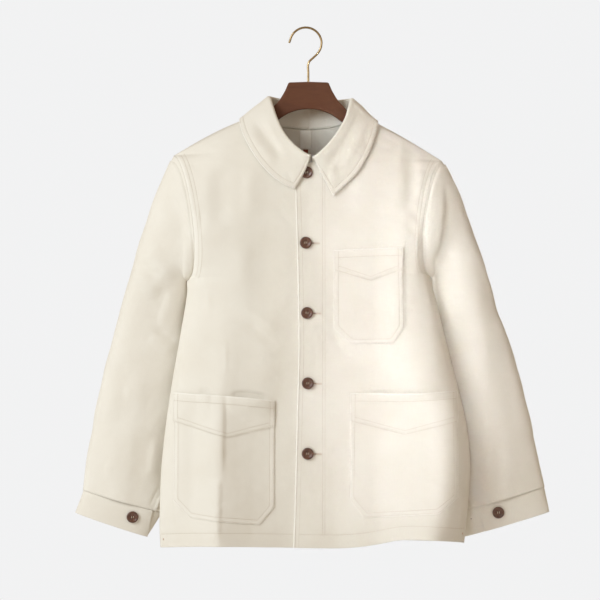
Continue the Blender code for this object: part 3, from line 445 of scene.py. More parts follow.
def body_point(x, z, back, lift):
    """A point on the body's surface at (x, z), or on its shoulder ridge, moved out by the lift."""
    side = "left" if x > 0 else "right"
    ridge = float(shoulder_height(side, x))
    z = min(z, ridge)
    y = float(body_y(x, z, back))
    y_low = float(body_y(x, z - RIDGE_STEP, back))
    if z == ridge:
        return np.array([x, SHOULDER_Y, z + lift])
    out = np.array([RIDGE_STEP, (y_low - y) * (1 if back else -1)])
    out = out / np.linalg.norm(out)
    return np.array([x, y + (out[0] if back else -out[0]) * lift, z + out[1] * lift])


# Each pocket's lower panel ends in two cut-off corners, and its upper panel laps over it with
# a V-shaped edge. Points are (x, height), from the upper left round to the right.
POCKETS = {
    "hip_right": dict(
        front="front_right",
        top=((-218.5, -596.5), (-135.0, -601.0), (-55.5, -608.5)),
        v=((-219.0, -644.5), (-132.0, -669.0), (-55.5, -651.5)),
        foot=((-219.3, -772.0), (-192.3, -798.7), (-80.0, -809.5), (-56.0, -781.5)),
    ),
    "hip_left": dict(
        front="front_left",
        top=((67.5, -596.2), (148.0, -597.2), (240.0, -593.5)),
        v=((67.2, -643.0), (155.5, -664.5), (241.0, -643.5)),
        foot=((65.5, -768.0), (91.0, -799.0), (209.0, -789.5), (241.0, -763.5)),
    ),
    "chest": dict(
        front="front_left",
        top=((40.7, -364.2), (96.0, -361.5), (152.6, -359.6)),
        v=((40.7, -397.8), (100.4, -415.4), (153.5, -397.2)),
        foot=((40.7, -490.5), (68.2, -517.3), (137.7, -516.0), (155.0, -489.0)),
    ),
}
LAP_GAP = 0.35
POCKET_TUCK = 9.0  # the lower panel runs up this far under the upper one
LABELS = {
    "neck_label": dict(x=(-14.0, 5.0), z=(-194.5, -166.5), gap=0.5, cloth=0.7),
    "size_tab": dict(x=(-9.0, -1.0), z=(-204.0, -196.0), gap=0.5, cloth=0.6),
    "care_label": dict(x=(-4.0, 14.0), z=(-243.0, -205.5), gap=0.5, cloth=0.6),
}
BUTTON_X = (-3.0, -4.6, -2.6, -1.4, -1.6)
BUTTON_TOP, BUTTON_PITCH = -238.5, 114.0
BUTTON_STAND = 0.5  # the thread holds each button this far off the cloth
BUTTON_REACH = 9.7  # its radius
CUFF_BUTTONS = {"right": (0.08, 0.43), "left": (0.062, 0.42)}  # shares of the turn, and down
BOARD_HALF = 5.5
BOARD_ROUND = 1.5
BOARD_CLEAR = 4.6  # the board's top lies at least this far below the outside of the seam
BOARD_SPACE = 10.0  # and low enough for the cloth's outside to stand this far from its middle
BOARD_TALL = 30.0
BOARD_TIP = 201.0
BOARD_ARM = (88, 104, 122, 142, 162, 180, 192)  # where the arms' heights are worked out
BLOCK_TOP = (  # the block's right half in the front view, from the stem to the neck
    (0, -87.6), (30.5, -88.6), (33.6, -90.4), (35.2, -94.5), (38, -101), (43, -110),
    (50, -120.5), (58.5, -129), (66, -138.5), (73, -147),
)
BOARD_ARCH = (  # the underside, from the neck back to the middle
    (60, -157.5), (50.5, -150.5), (40, -143), (28, -137), (14, -133.3), (0, -132),
)
HOOK_WIRE = 1.8
HOOK_RADIUS = 26.0
HOOK_ARC = (math.radians(14), math.radians(178))  # measured round from the left
HOOK_TIP = (-27.2, -23.4)
HOOK_RETURN = (  # from the hook's right side back to the middle and down the stem
    (25.4, -28.5), (23.5, -34.5), (19.7, -40.4), (14.3, -46.1), (8.6, -51.2), (5.4, -54.6),
    (4.2, -58.5), (4.2, -72), (4.2, -87.3),
)


# ---------------------------------------------------------------- small folds and ripples
LEVELS = ((-36.0, 1), (-18.0, 4), (0.0, 6), (18.0, 4), (36.0, 1))  # a step in height, its weight
LEVEL_TOTAL = 16  # the sum of the weights


def hung_y(x, z, back):
    """The body's form, with the bends level with the armholes' ends eased away from its edges."""
    plain = body_y(x, z, back)
    total, share = np.zeros(np.shape(plain)), np.ones(np.shape(plain))
    edges = {"right": 0.0, "left": 0.0}
    for step, weight in LEVELS:
        total = total + body_y(x, z + step, back) * weight / LEVEL_TOTAL
        for side in SIGN:
            edges[side] = edges[side] + outer_edge(side, z + step, back)[0] * weight / LEVEL_TOTAL
    for side in SIGN:
        share = share * eased((edges[side] - x) * SIGN[side] / 26.0)
    ridge = ridge_height(x)
    return plain + (total - plain) * share * eased((ridge - z - 8.0) / 40.0)


# Each fold: how far it rises, its run on its left or lower side and on its right or upper side,
# and the points (x, height) that it passes, drawn downwards or to the right.
FRONT_CREASES = (
    # the right front
    (-1.5, 3, 7, (-174.6, -294.6), (-176.2, -328.6), (-174.6, -345)),
    (-3, 18, 18, (-143.8, -218.3), (-143, -331.9)),
    (1.8, 14, 14, (-93.5, -219.9), (-95, -312.4)),
    (-0.9, 4, 4, (-53.7, -291.3), (-25.3, -328.6)),
    (-0.6, 3, 4, (-44, -286), (-27, -308)),
    (0.8, 3, 6, (-164.9, -422.7), (-161.6, -479.5)),
    (1.1, 2.6, 4, (-135.7, -508.7), (-134.8, -571.3)),
    (-1.1, 8, 8, (-126.6, -543.9), (-75, -543), (-27, -544.5)),
    (-1.7, 10, 10, (-108, -474), (-78, -498), (-46, -528)),
    (1.4, 12, 12, (-122, -450), (-84, -472), (-40, -502)),
    (2.6, 30, 5, (-141.5, -590), (-141.5, -660), (-142, -736)),
    (2.2, 24, 5, (-146.5, -726), (-147.5, -846)),
    (0.9, 5, 5, (-154, -744), (-140, -743)),
    (0.9, 5, 5, (-154, -787), (-140, -786)),
    (0.8, 4, 4, (-156, -815), (-141, -815)),
    (-0.7, 3, 3, (-162, -709), (-150, -706)),
    (-0.7, 3, 3, (-149, -775), (-136, -773)),
    (4, 14, 60, (-182, -290), (-190, -400), (-188, -470)),
    (4.5, 14, 34, (-204, -450), (-207, -560), (-212, -660)),
    (3.6, 9, 15, (-211, -600), (-216, -720), (-218, -845)),
    (-2.4, 12, 14, (-186, -590), (-186, -700), (-188, -845)),
    (1, 10, 14, (-112, -350), (-106, -430)),
    (-1.6, 26, 26, (-76, -340), (-66, -420), (-78, -480)),
    # the left front
    (-2.6, 10, 13, (171, -176), (166, -240), (160, -306)),
    (1.9, 13, 9, (154, -180), (151, -250), (148, -310)),
    (1.5, 9, 8, (184, -190), (183, -240), (184, -286)),
    (-1.4, 8, 7, (150, -286), (172, -304), (190, -322)),
    (-1.1, 8, 7, (154, -314), (174, -334), (188, -354)),
    (8, 70, 15, (186, -300), (196, -420), (219, -530), (236, -640)),
    (9, 42, 14, (228, -580), (240, -700), (240, -845)),
    (-5, 30, 20, (186, -560), (190, -700), (192, -845)),
    (-1.7, 8, 8, (34, -492), (52, -522), (69, -546)),
    (-1.5, 9, 9, (168.4, -450), (160.1, -494)),
    (0.8, 4, 4, (-10.7, -740.7), (12, -757)),
    (0.8, 4, 4, (41.2, -718), (56, -744)),
    (0.7, 4, 4, (44, -744), (60.6, -770)),
    (-1.3, 4, 4, (243, -684), (256, -700)),
    (1.1, 12, 12, (196, -430), (202, -500), (214, -570)),
    (-1.1, 12, 12, (100, -540), (150, -566)),
    (-0.8, 6, 6, (205, -560), (236, -574)),
    (1, 14, 14, (86, -232), (80, -330)),
    (-1, 12, 12, (118, -220), (112, -320)),
)
BACK_CREASES = (
    (-1.6, 12, 14, (-150, -230), (-158, -380)),
    (1.8, 14, 12, (-110, -260), (-100, -420)),
    (-2, 14, 12, (30, -300), (22, -470)),
    (1.6, 12, 14, (150, -240), (158, -400)),
    (-1.4, 8, 8, (-200, -430), (-150, -480)),
    (-1.4, 8, 8, (150, -490), (204, -440)),
    (1.1, 9, 9, (-190, -455), (-140, -510)),
    (-1.2, 9, 9, (-60, -560), (10, -572), (80, -566)),
    (1.4, 16, 6, (120, -600), (124, -760)),
    (-1, 5, 5, (-170, -640), (-120, -668)),
    (0.9, 5, 5, (60, -690), (104, -716)),
    (-0.8, 4, 6, (-210, -700), (-180, -724)),
)
SLEEVE_CREASES = {
    "right": (
        (3.4, 20, 14, (-241.9, -254.7), (-216.7, -291.1), (-200, -333.2), (-199, -360)),
        (-2.5, 13, 13, (-271.1, -360.4), (-233.5, -396.1), (-216, -410)),
        (-2.5, 13, 13, (-292, -396), (-258.6, -425.8), (-240, -436)),
        (1.5, 10, 10, (-280, -380), (-243.8, -414.3)),
        (2.1, 22, 7, (-230, -420), (-239.7, -446.3), (-248.1, -467.3), (-252.4, -494)),
        (1.8, 8, 8, (-256, -490), (-212.6, -515.4)),
        (-1.4, 11, 11, (-262, -505), (-222, -532)),
        (-1, 6, 6, (-293, -588), (-298.5, -616)),
        (-1.9, 6, 10, (-250.6, -668), (-257.5, -702.3), (-259.8, -725.3), (-277, -740)),
        (-1, 6, 6, (-323, -706), (-330, -738)),
        (1.3, 13, 13, (-318, -520), (-306, -600), (-322, -690)),
        (-1.1, 11, 11, (-282, -560), (-274, -650)),
    ),
    "left": (
        (3, 8, 25, (227.4, -250), (227.2, -293.4), (219.2, -350.2), (206, -396)),
        (-3.4, 17, 8, (216, -256), (214, -330), (203, -388)),
        (1.5, 17, 11, (279.6, -380), (292.1, -440), (300.5, -476)),
        (-1.5, 17, 17, (250, -336), (253.7, -450)),
        (-1.3, 7, 7, (306, -476), (323, -503)),
        (1.8, 14, 11, (318, -545), (331.2, -615), (342.7, -682)),
        (-1.3, 8, 6, (290, -704), (306, -687)),
        (1.1, 7, 7, (262, -674), (281, -658)),
        (1, 7, 7, (339, -720), (364, -702)),
        (-1.1, 13, 13, (268, -470), (276, -560), (292, -640)),
        (-1.1, 10, 10, (226, -470), (262, -500)),
    ),
}
# The slits above the cuffs: a raised binding and the dark gap beside it.
SLEEVE_SLITS = {
    "right": (
        (0.9, 3, 1.6, (-243.5, -748), (-254, -769), (-262.5, -789)),
        (-3, 1.2, 2.6, (-238.5, -758), (-248.5, -778), (-254, -794)),
    ),
    "left": (
        (0.9, 1.6, 3, (264.5, -761), (272, -772), (280, -786)),
        (-2.6, 2.6, 1.2, (258, -762), (266, -774), (273, -787)),
    ),
}
COLLAR_CREASES = (
    (-2.4, 9, 9, (-92, -146), (-66, -182), (-38.7, -218)),
    (1.9, 9, 9, (-99, -168), (-76, -200), (-50, -230)),
    (1.4, 8, 8, (-62, -140), (-46, -186), (-30, -212)),
    (-0.9, 4, 4, (-35.5, -234), (-25.5, -259)),
    (-3, 9, 12, (78.3, -130), (50, -182), (32, -236)),
    (1.8, 10, 8, (100, -150), (72, -200), (50, -246)),
    (-1.1, 4, 4, (91.8, -172), (93.4, -199)),
    (1.2, 6, 6, (37, -222), (44.6, -259)),
)


def nearest(line, x, z):
    """Distance to a line, above 0 on its right or upper side, how far along it, and its length."""
    line = np.asarray(line, float)
    best = np.full(np.shape(x), 1e12)
    side, along = np.zeros(np.shape(x)), np.zeros(np.shape(x))
    start = 0.0
    for (x0, z0), (x1, z1) in zip(line[:-1], line[1:]):
        ax, az = x1 - x0, z1 - z0
        length = math.hypot(ax, az)
        if length < 1e-9:
            continue
        t = np.clip(((x - x0) * ax + (z - z0) * az) / length**2, 0, 1)
        dx, dz = x - x0 - ax * t, z - z0 - az * t
        gap = dx * dx + dz * dz
        closer = gap < best
        best = np.where(closer, gap, best)
        side = np.where(closer, dz * ax - dx * az, side)
        along = np.where(closer, start + length * t, along)
        start += length
    return np.sqrt(best) * np.where(side < 0, -1.0, 1.0), along, start


CREASE_FADE = 0.3  # the share of a fold's length over which each end fades out
WIDE_CREASE, WIDE_CREASE_RUN = 18.0, 16.0  # folds wider than this, both runs together,
WIDE_CREASE_GAIN = 0.3  # rise up to this share higher, and fully so where wider by the run


def creases(rows, x, z):
    """How far small folds push the cloth out."""
    total = np.zeros(np.shape(x))
    for rise, run_left, run_right, *line in rows:
        gap, along, length = nearest(line, x, z)
        run = np.where(gap > 0, run_right, run_left)
        share = along / length
        wide = eased((run_left + run_right - WIDE_CREASE) / WIDE_CREASE_RUN)
        rise = rise * (1.0 + WIDE_CREASE_GAIN * wide)
        ends = rise * eased(share / CREASE_FADE) * eased((1 - share) / CREASE_FADE)
        total = total + ends * hump(gap, run)
    return total


def ripple(a, b, seed, length=90.0, height=0.5, count=9):
    """Soft unevenness of hanging cloth: waves of about one length that cross at all angles."""
    rng = np.random.default_rng(seed)
    total = np.zeros(np.broadcast(a, b).shape)
    for _ in range(count):
        turn, phase = rng.uniform(0, math.pi), rng.uniform(0, 2 * math.pi)
        wave = length * rng.uniform(0.6, 1.6)
        total += np.sin((a * math.cos(turn) + b * math.sin(turn)) * 2 * math.pi / wave + phase)
    return total * height / math.sqrt(count)


GROOVE = 0.9  # half the width of the groove under a row of stitches
GROOVE_DEPTH, PUCKER = 0.26, 0.05


def sewn(line, x, z, seed):
    """A row of stitches draws the cloth in along its line and puckers it beside the line."""
    gap, along, _ = nearest(line, x, z)
    wave = np.sin(along / 2.3 + seed) + np.sin(along / 3.9 + 2.1 * seed)
    return PUCKER * wave * np.exp(-np.abs(gap) / 5.0) - GROOVE_DEPTH * hump(gap, GROOVE)


def body_detail(x, z, back):
    """The body's small folds, which fade out at its side seams, armholes and shoulder seams."""
    total = creases(BACK_CREASES if back else FRONT_CREASES, x, z)
    total = total + ripple(x, z, 11 if back else 4, height=1.05)
    total = total + ripple(x, z, 12 if back else 5, length=26.0, height=0.13)
    ridge = ridge_height(x)
    total = total * eased((ridge - z) / 18.0)
    for side in SIGN:
        x_edge, _ = outer_edge(side, z, back)
        total = total * eased((x_edge - x) * SIGN[side] / 13.0)
    return total


def front_skin(side, x, z):
    """Points on a front's outside."""
    x, z = grids_of(x, z)
    smoothed = hung_y(x, z, False) - body_y(x, z, False)
    return np.stack([x, front_y(side, x, z) + smoothed - body_detail(x, z, False), z], axis=-1)


def back_skin(x, z):
    """Points on the back's outside."""
    x, z = grids_of(x, z)
    return np.stack([x, hung_y(x, z, True) + body_detail(x, z, True), z], axis=-1)


def skin_normals(skin, x, z, facing, step=0.8):
    """Which way a skin faces: -1 for the front and 1 for the back."""
    x, z = grids_of(x, z)
    across = skin(x + step, z) - skin(x - step, z)
    up = skin(x, z + step) - skin(x, z - step)
    return unit(np.cross(across, up)) * -facing


def crowded(total, step, start=(), end=(), fine=1.0):
    """Places from 0 to the total, a step apart or less, with close ones at the sewn lines."""
    marks = [0.0, 0.9, total - 0.9, total]
    for near in start:
        marks += [near - fine, near, near + fine]
    for near in end:
        marks += [total - near - fine, total - near, total - near + fine]
    marks = sorted(mark for mark in marks if 0 <= mark <= total)
    places = [0.0]
    for mark in marks[1:]:
        if mark - places[-1] < 0.3:
            if mark == total:
                places[-1] = total
            continue
        parts = math.ceil((mark - places[-1]) / step)
        places += list(np.linspace(places[-1], mark, parts + 1)[1:])
    return np.array(places)


# ---------------------------------------------------------------- fine grids of the body
PLACKET_ROW = 2.4  # the row along the left front's edge
FACING_ROWS = (22.4, 26.4)  # x of the two rows that hold its facing
HEM_ROW = 22.0
ARM_ROWS = (7.5, 13.0)  # the rows round the armholes, measured in from the seam
ARM_STEPS = 72  # rows round half of an armhole
NECK_STEPS = 42  # how many of them end on the front neckline
FRONT_SPAN, SHOULDER_SPAN = 255.0, 140.0
FINE_STEP = 2.9
NECK_COLUMNS_FINE = 52
UNDERARM_BULGE = 2.4  # how far each side edge swells just below the underarm
HEM_RAISE, HEM_RAISE_RUN = 6.2, 130  # the back's hem rises on the left, over this height,
HEM_RAISE_X = (90, 60)  # from this x on, fully after this run
HEM_ROW_RAISE = 5.5  # its row of stitches rises a little less
ARM_TURNS = math.pi * (1 - np.arange(ARM_STEPS + 1) / ARM_STEPS)
UNDER_SHARE = (math.pi - ARM_TURNS) / (math.pi / 12)


def fine_edge(side, back):
    """Points on the side edge and the armhole, and how many lie below the underarm."""
    rise = ARMHOLES["right"]["under"][1] - HEM_HEIGHT
    z = HEM_HEIGHT + crowded(rise, FINE_STEP, start=(HEM_ROW,))
    z = HEM_HEIGHT + (z - HEM_HEIGHT) * (ARMHOLES[side]["under"][1] - HEM_HEIGHT) / rise
    z = z[:-1]
    x, y = outer_edge(side, z, back)
    x = x + SIGN[side] * UNDERARM_BULGE * hump(ARMHOLES[side]["under"][1] - 10.0 - z, 8.0)
    hole = armhole(side, -ARM_TURNS if back else ARM_TURNS)
    return np.concatenate([np.stack([x, y, z], axis=-1), hole]), len(z)


def fine_front(side):
    """A front's points, and how many of its rows lie below the underarm."""
    sign = SIGN[side]
    outer, below = fine_edge(side, back=False)
    under_z = ARMHOLES[side]["under"][1]
    steps = np.arange(NECK_STEPS + 1) * (FRONT_NECKLINE["step"][-1] / NECK_STEPS)
    heights = smooth(steps, FRONT_NECKLINE["step"], FRONT_NECKLINE["height"])
    inward = smooth(steps, FRONT_NECKLINE["step"], FRONT_NECKLINE["inward"])
    rise = np.linspace(under_z, heights[0], ARM_STEPS - NECK_STEPS + 1)
    inner_z = np.concatenate([outer[:below, 2], rise, heights[1:]])
    if side == "left":
        inner_x = smooth(inner_z, PLACKET_EDGE["height"], PLACKET_EDGE["x"])
        lines = (PLACKET_ROW, 40.5, 44.5)
    else:
        inner_x = np.full_like(inner_z, UNDER_EDGE_X)
        lines = ()
    foot = below + ARM_STEPS - NECK_STEPS
    neck_x = NECK_POINT[0] * sign
    inner_x[foot:] = neck_x + (inner_x[foot] - neck_x) * inward
    share = crowded(FRONT_SPAN, FINE_STEP, start=lines, end=ARM_ROWS)[None, :] / FRONT_SPAN
    x = inner_x[:, None] * (1 - share) + outer[:, None, 0] * share
    z = inner_z[:, None] * (1 - share) + outer[:, None, 2] * share
    z[-1] = shoulder_height(side, x[-1])
    hem = smooth(x, FRONT_HEM["x"], FRONT_HEM["height"]) - HEM_HEIGHT
    fade = np.clip((under_z - outer[:, 2]) / (under_z - HEM_HEIGHT), 0, 1) ** 2
    z = z + hem * fade[:, None]
    points = front_skin(side, x, z)
    points[:, -1, 1] = outer[:, 1]
    points[-1, :, 1] = SHOULDER_Y
    return points, below


def fine_back():
    """The back's points, how many rows lie below the underarm, and columns on each shoulder."""
    neck_x, _, neck_z = NECK_POINT
    right, below = fine_edge("right", back=True)
    left, _ = fine_edge("left", back=True)
    shares = 1 - crowded(SHOULDER_SPAN, FINE_STEP, start=ARM_ROWS) / SHOULDER_SPAN
    top_right = -neck_x + (ARMHOLES["right"]["tip"][0] + neck_x) * shares
    top_left = neck_x + (ARMHOLES["left"]["tip"][0] - neck_x) * shares[::-1]
    top_neck = np.linspace(-neck_x, neck_x, NECK_COLUMNS_FINE + 1)[1:-1]
    top_x = np.concatenate([top_right, top_neck, top_left])
    neck = neck_z - BACK_NECK_DROP * np.sqrt(np.clip(1 - (top_x / neck_x) ** 2, 0, 1))
    top_z = np.where(np.abs(top_x) < neck_x - 0.01, neck, ridge_height(top_x))
    across = (top_x - top_x[0]) / (top_x[-1] - top_x[0])
    x = right[:, None, 0] * (1 - across) + left[:, None, 0] * across
    edge_z = right[:, None, 2] * (1 - across) + left[:, None, 2] * across
    tip_z = right[-1, 2] * (1 - across) + left[-1, 2] * across
    z = HEM_HEIGHT + (edge_z - HEM_HEIGHT) * (top_z - HEM_HEIGHT) / (tip_z - HEM_HEIGHT)
    points = back_skin(x, z)
    points[:, 0], points[:, -1] = right, left
    on_shoulder = np.abs(top_x) > neck_x - 0.01
    points[-1, on_shoulder, 1] = SHOULDER_Y
    return points, below, len(shares)


def on_left(x):
    """0 over most of the back, and 1 at its left side."""
    start, run = HEM_RAISE_X
    return eased((x - start) / run)


@lru_cache(maxsize=1)
def fine_body():
    """Each panel's points and outward normals, and the armhole seams for the sleeves."""
    seams, grids = {}, {}
    for name in ("front_right", "front_left", "back"):
        back = name == "back"
        if back:
            points, below, top = fine_back()
            x, z = points[..., 0], points[..., 2]
            near_hem = eased((HEM_HEIGHT + HEM_RAISE_RUN - z) / HEM_RAISE_RUN)
            points[..., 2] += HEM_RAISE * on_left(x) * near_hem
        else:
            points, below = fine_front(name[6:])
            top = points.shape[1]
        normals = grid_normals(points) * (1 if name == "front_left" else -1)
        for side, column in (("right", 0), ("left", -1)) if back else ((name[6:], -1),):
            seam = slice(0, top) if column == 0 else slice(-top, None)
            normals[: below + 1, column] = (SIGN[side], 0.0, 0.0)
            normals[-1, seam] = ridge_normal(side)
            normals[-1, column] = unit(ridge_normal(side) + np.array([SIGN[side], 0.0, 0.0]))
            turn = np.interp(UNDER_SHARE, (0, 1, 2, 3), (*UNDERARM_TURN, 0.0))
            normals[below:, column] = unit(
                normals[below:, column] - np.outer(turn, (0.0, 0.0, 1.0))
            )
            inner = 1 if column == 0 else -2
            edge, ridge = points[:, column].copy(), points[-1, seam].copy()
            shift = seam_shift(edge, normals[:, column], points[:, inner] - edge)
            ridge_shift = seam_shift(ridge, normals[-1, seam], points[-2, seam] - ridge)
            gap = -shift[below:]
            gap[:, 2] += 0.3 * UNDERARM_GAP * np.clip(1 - UNDER_SHARE, 0, 1)
            seams[side, back] = (normals[below:, column].copy(), gap)
            points[:, column] += shift
            points[-1, seam] += ridge_shift
        grids[name] = (points, normals, below)
    return grids, seams


# ---------------------------------------------------------------- meshes
EDGE_TURN = 0.55  # how far a cut or folded edge is rounded


def place(piece, slot=None, stands_for=()):
    """Puts a piece in the scene: it rides on the body and stands for its solids."""
    if piece.name not in bpy.context.scene.collection.all_objects:
        bpy.context.scene.collection.objects.link(piece)
    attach(piece, BODY)
    if stands_for:
        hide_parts(*stands_for)
    return piece


def in_frame(points):
    """Millimetres from the jacket's centre line, to metres in the frame."""
    return (np.asarray(points, float).reshape(-1, 3) + (CENTRE_X, 0.0, 0.0)) * MM


def mesh_piece(name, points, faces, material, kinds=None):
    mesh = bpy.data.meshes.new(name)
    mesh.from_pydata(in_frame(points).tolist(), [], faces)
    mesh.validate()
    mesh.shade_smooth()
    for one in material if isinstance(material, (list, tuple)) else [material]:
        mesh.materials.append(one)
    if kinds is not None:
        mesh.polygons.foreach_set("material_index", np.asarray(kinds, np.int32))
    mesh.update()
    return bpy.data.objects.new(name, mesh)


def pulled_in(points, turn, axes=(0, 1)):
    """The same grid with its outer lines moved in a little, for rounded edges."""
    points = points.copy()
    for axis in axes:
        view = np.moveaxis(points, axis, 0)
        for edge, inner in ((0, 1), (-1, -2)):
            step = view[inner] - view[edge]
            size = np.linalg.norm(step, axis=-1, keepdims=True)
            view[edge] += step / np.maximum(size, 1e-9) * np.minimum(turn, 0.45 * size)
    return points


def cloth_wall(name, outer, inner, material, closed=False, turn=EDGE_TURN, worn=None):
    """A closed wall of cloth between two grids of points, with rounded edges."""
    rows, columns = outer.shape[:2]
    worn = np.broadcast_to(0.0 if worn is None else worn, (rows, columns)).ravel()
    count = rows * columns
    middle = (outer + inner) / 2
    index = np.arange(count).reshape(rows, columns)
    if closed:
        loops = [index[0], index[-1][::-1]]
        side = np.concatenate([index, index[:, :1]], axis=1)
    else:
        ends = (index[0, :-1], index[:-1, -1], index[-1, :0:-1], index[:0:-1, 0])
        loops = [np.concatenate(ends)]
        side = index
    axes = (0,) if closed else (0, 1)
    outer, inner = pulled_in(outer, turn, axes), pulled_in(inner, turn, axes)
    quads = np.stack([side[:-1, :-1], side[:-1, 1:], side[1:, 1:], side[1:, :-1]], axis=-1)
    quads = quads.reshape(-1, 4)
    faces = [quads, quads[:, ::-1] + count]
    points = [outer.reshape(-1, 3), inner.reshape(-1, 3)]
    start, marks = 2 * count, [worn, 0 * worn]
    for loop in loops:
        marks.append(worn[loop])
        rim = start + np.arange(len(loop))
        start += len(loop)
        points.append(middle.reshape(-1, 3)[loop])
        ahead, rim_ahead = np.roll(loop, -1), np.roll(rim, -1)
        faces.append(np.stack([ahead, loop, rim, rim_ahead], axis=-1))
        faces.append(np.stack([rim_ahead, rim, loop + count, ahead + count], axis=-1))
    faces = np.concatenate(faces)
    a, b, d = (outer.reshape(-1, 3)[quads[:, i]] for i in (0, 1, 3))
    out = (outer - inner).reshape(-1, 3)[quads[:, 0]]
    if np.sum(np.cross(b - a, d - a) * out) < 0:
        faces = faces[:, ::-1]
    piece = mesh_piece(name, np.concatenate(points), faces.tolist(), material)
    # a point mark that lightens edges and welts: partly wear, partly a painted highlight where
    # light catches them
    mark = piece.data.attributes.new("worn", "FLOAT", "POINT")
    mark.data.foreach_set("value", np.concatenate(marks).astype(np.float32))
    return piece


def rolled(gap, width, drop):
    """How far a folded edge falls away, by how far in from it a place is."""
    near = 1 - np.clip(gap / width, 0, 1)
    return -drop * (1 - np.sqrt(1 - 0.98 * near**2))


def along_line(line, step=1.6):
    """A line of points in the front view, at even steps."""
    line = np.asarray(line, float)
    run = np.concatenate([[0], np.cumsum(np.hypot(*np.diff(line, axis=0).T))])
    at = np.linspace(0, run[-1], max(3, int(run[-1] / step) + 1))
    return np.stack([np.interp(at, run, line[:, i]) for i in (0, 1)], axis=-1)


def beside(line, gap):
    """The line moved to its left or lower side by the gap, with mitred corners."""
    line = np.asarray(line, float)
    step = np.diff(line, axis=0)
    step = step / np.linalg.norm(step, axis=1, keepdims=True)
    left = np.stack([step[:, 1], -step[:, 0]], axis=-1)
    before, after = np.concatenate([left[:1], left]), np.concatenate([left, left[-1:]])
    joined = before + after
    joined /= np.maximum(np.sum(joined * joined, axis=1, keepdims=True) / 2, 0.25)
    return line + joined * gap


# ---------------------------------------------------------------- sewing
THREAD_LIFT = 0.05
STITCH_POINTS = 10  # a tip, two rings of four and the other tip
STITCH_RING = np.array([(1, 0), (0, 1), (-1, 0), (0, -0.6)])  # a thread's section: aside and up
STITCH_ARCH = np.array([-0.35, 0.55, 0.55, -0.35])  # how high its rings lie, in thicknesses
STITCH_SIDES = np.array([(1 + k, 1 + (k + 1) % 4, 5 + (k + 1) % 4, 5 + k) for k in range(4)])
STITCH_TIPS = np.array(
    [(0, 1 + (k + 1) % 4, 1 + k) for k in range(4)]
    + [(9, 5 + k, 5 + (k + 1) % 4) for k in range(4)]
)


def stitch_points(centre, normal, across, thick):
    """The points of each stitch, from the four places along its middle."""
    ring = STITCH_RING * thick
    rings = [
        centre[:, i] + across[:, i] * ring[:, :1] + normal[:, i] * ring[:, 1:]
        for i in (slice(1, 2), slice(2, 3))
    ]
    return np.concatenate([centre[:, :1], *rings, centre[:, 3:]], axis=1)


def stitch_faces(start, count):
    """The faces of some stitches whose points start at a number."""
    base = start + STITCH_POINTS * np.arange(count)[:, None, None]
    sides, tips = (base + STITCH_SIDES).reshape(-1, 4), (base + STITCH_TIPS).reshape(-1, 3)
    return sides.tolist() + tips.tolist()


def threads(name, rows, material, seed):
    """Every stitch of some rows, as one piece. Each row is points on the cloth and its normals."""
    sewing = bpy.context.scene.chore_jacket_sewing
    pitch, length = sewing.pitch / MM, sewing.stitch / MM
    thick = sewing.thread / MM / 2
    rng = np.random.default_rng(seed)
    points, faces = [], []
    start = 0
    for path, normals in rows:
        run = np.concatenate([[0], np.cumsum(np.linalg.norm(np.diff(path, axis=0), axis=1))])
        if run[-1] < length:
            continue
        at = np.arange(rng.uniform(0.2, 1.0), run[-1] - length, pitch)
        if not len(at):
            continue
        at = at + rng.uniform(-0.12, 0.12, len(at))
        size = length * rng.uniform(0.93, 1.05, len(at))
        places = at[:, None] + size[:, None] * np.array([0.0, 0.16, 0.84, 1.0])
        centre, normal = (
            np.stack([np.interp(places, run, values[:, i]) for i in range(3)], axis=-1)
            for values in (path, normals)
        )
        normal = unit(normal)
        ahead = unit(centre[:, 3:] - centre[:, :1])
        across = unit(np.cross(normal, ahead))
        across = across + ahead * rng.uniform(-0.08, 0.08, (len(at), 1, 1))
        centre = centre + normal * ((STITCH_ARCH * thick)[None, :, None] + THREAD_LIFT)
        points.append(stitch_points(centre, normal, across, thick).reshape(-1, 3))
        faces += stitch_faces(start, len(at))
        start += STITCH_POINTS * len(at)
    return place(mesh_piece(name, np.concatenate(points), faces, material), "cloth")


def on_skin(skin, line, facing=-1):
    """Points of a line on a skin, and which way the skin faces there."""
    x, z = np.asarray(line, float).T
    return skin(x, z), skin_normals(skin, x, z, facing)


def skin_row(skin, line, facing=-1, lift=0.0):
    """A row of stitches along a line on a skin."""
    points, normals = on_skin(skin, along_line(line), facing)
    return points + normals * lift, normals


def grid_row(points, normals, rows, columns, lift=0.0):
    """A row of stitches through places on a grid, given as fractional rows and columns."""
    rows, columns = grids_of(rows, columns)
    i = np.clip(rows.astype(int), 0, points.shape[0] - 2)
    j = np.clip(columns.astype(int), 0, points.shape[1] - 2)
    a, b = (rows - i)[:, None], (columns - j)[:, None]
    found = []
    for grid in (points, normals):
        low = grid[i, j] * (1 - b) + grid[i, j + 1] * b
        high = grid[i + 1, j] * (1 - b) + grid[i + 1, j + 1] * b
        found.append(low * (1 - a) + high * a)
    normal = unit(found[1])
    return found[0] + normal * lift, normal


HOLE_LIP, HOLE_PITCH, HOLE_TILT = 1.3, 0.62, -0.05  # a lip's reach, stitch to stitch, the slope


def buttonhole(skin, x0, x1, z):
    """Close stitches round a slit, as short rows that cross its two lips and its ends."""
    lines = []
    for x in np.arange(x0, x1, HOLE_PITCH):
        level = z + HOLE_TILT * (x - x0)
        for sign in (-1, 1):
            lines.append([(x, level + 0.25 * sign), (x + 0.1, level + HOLE_LIP * sign)])
    for x in (x0 - 0.3, x1 + 0.3):
        level = z + HOLE_TILT * (x - x0)
        lines.append([(x, level - HOLE_LIP), (x, level + HOLE_LIP)])
    return [on_skin(skin, line) for line in lines]


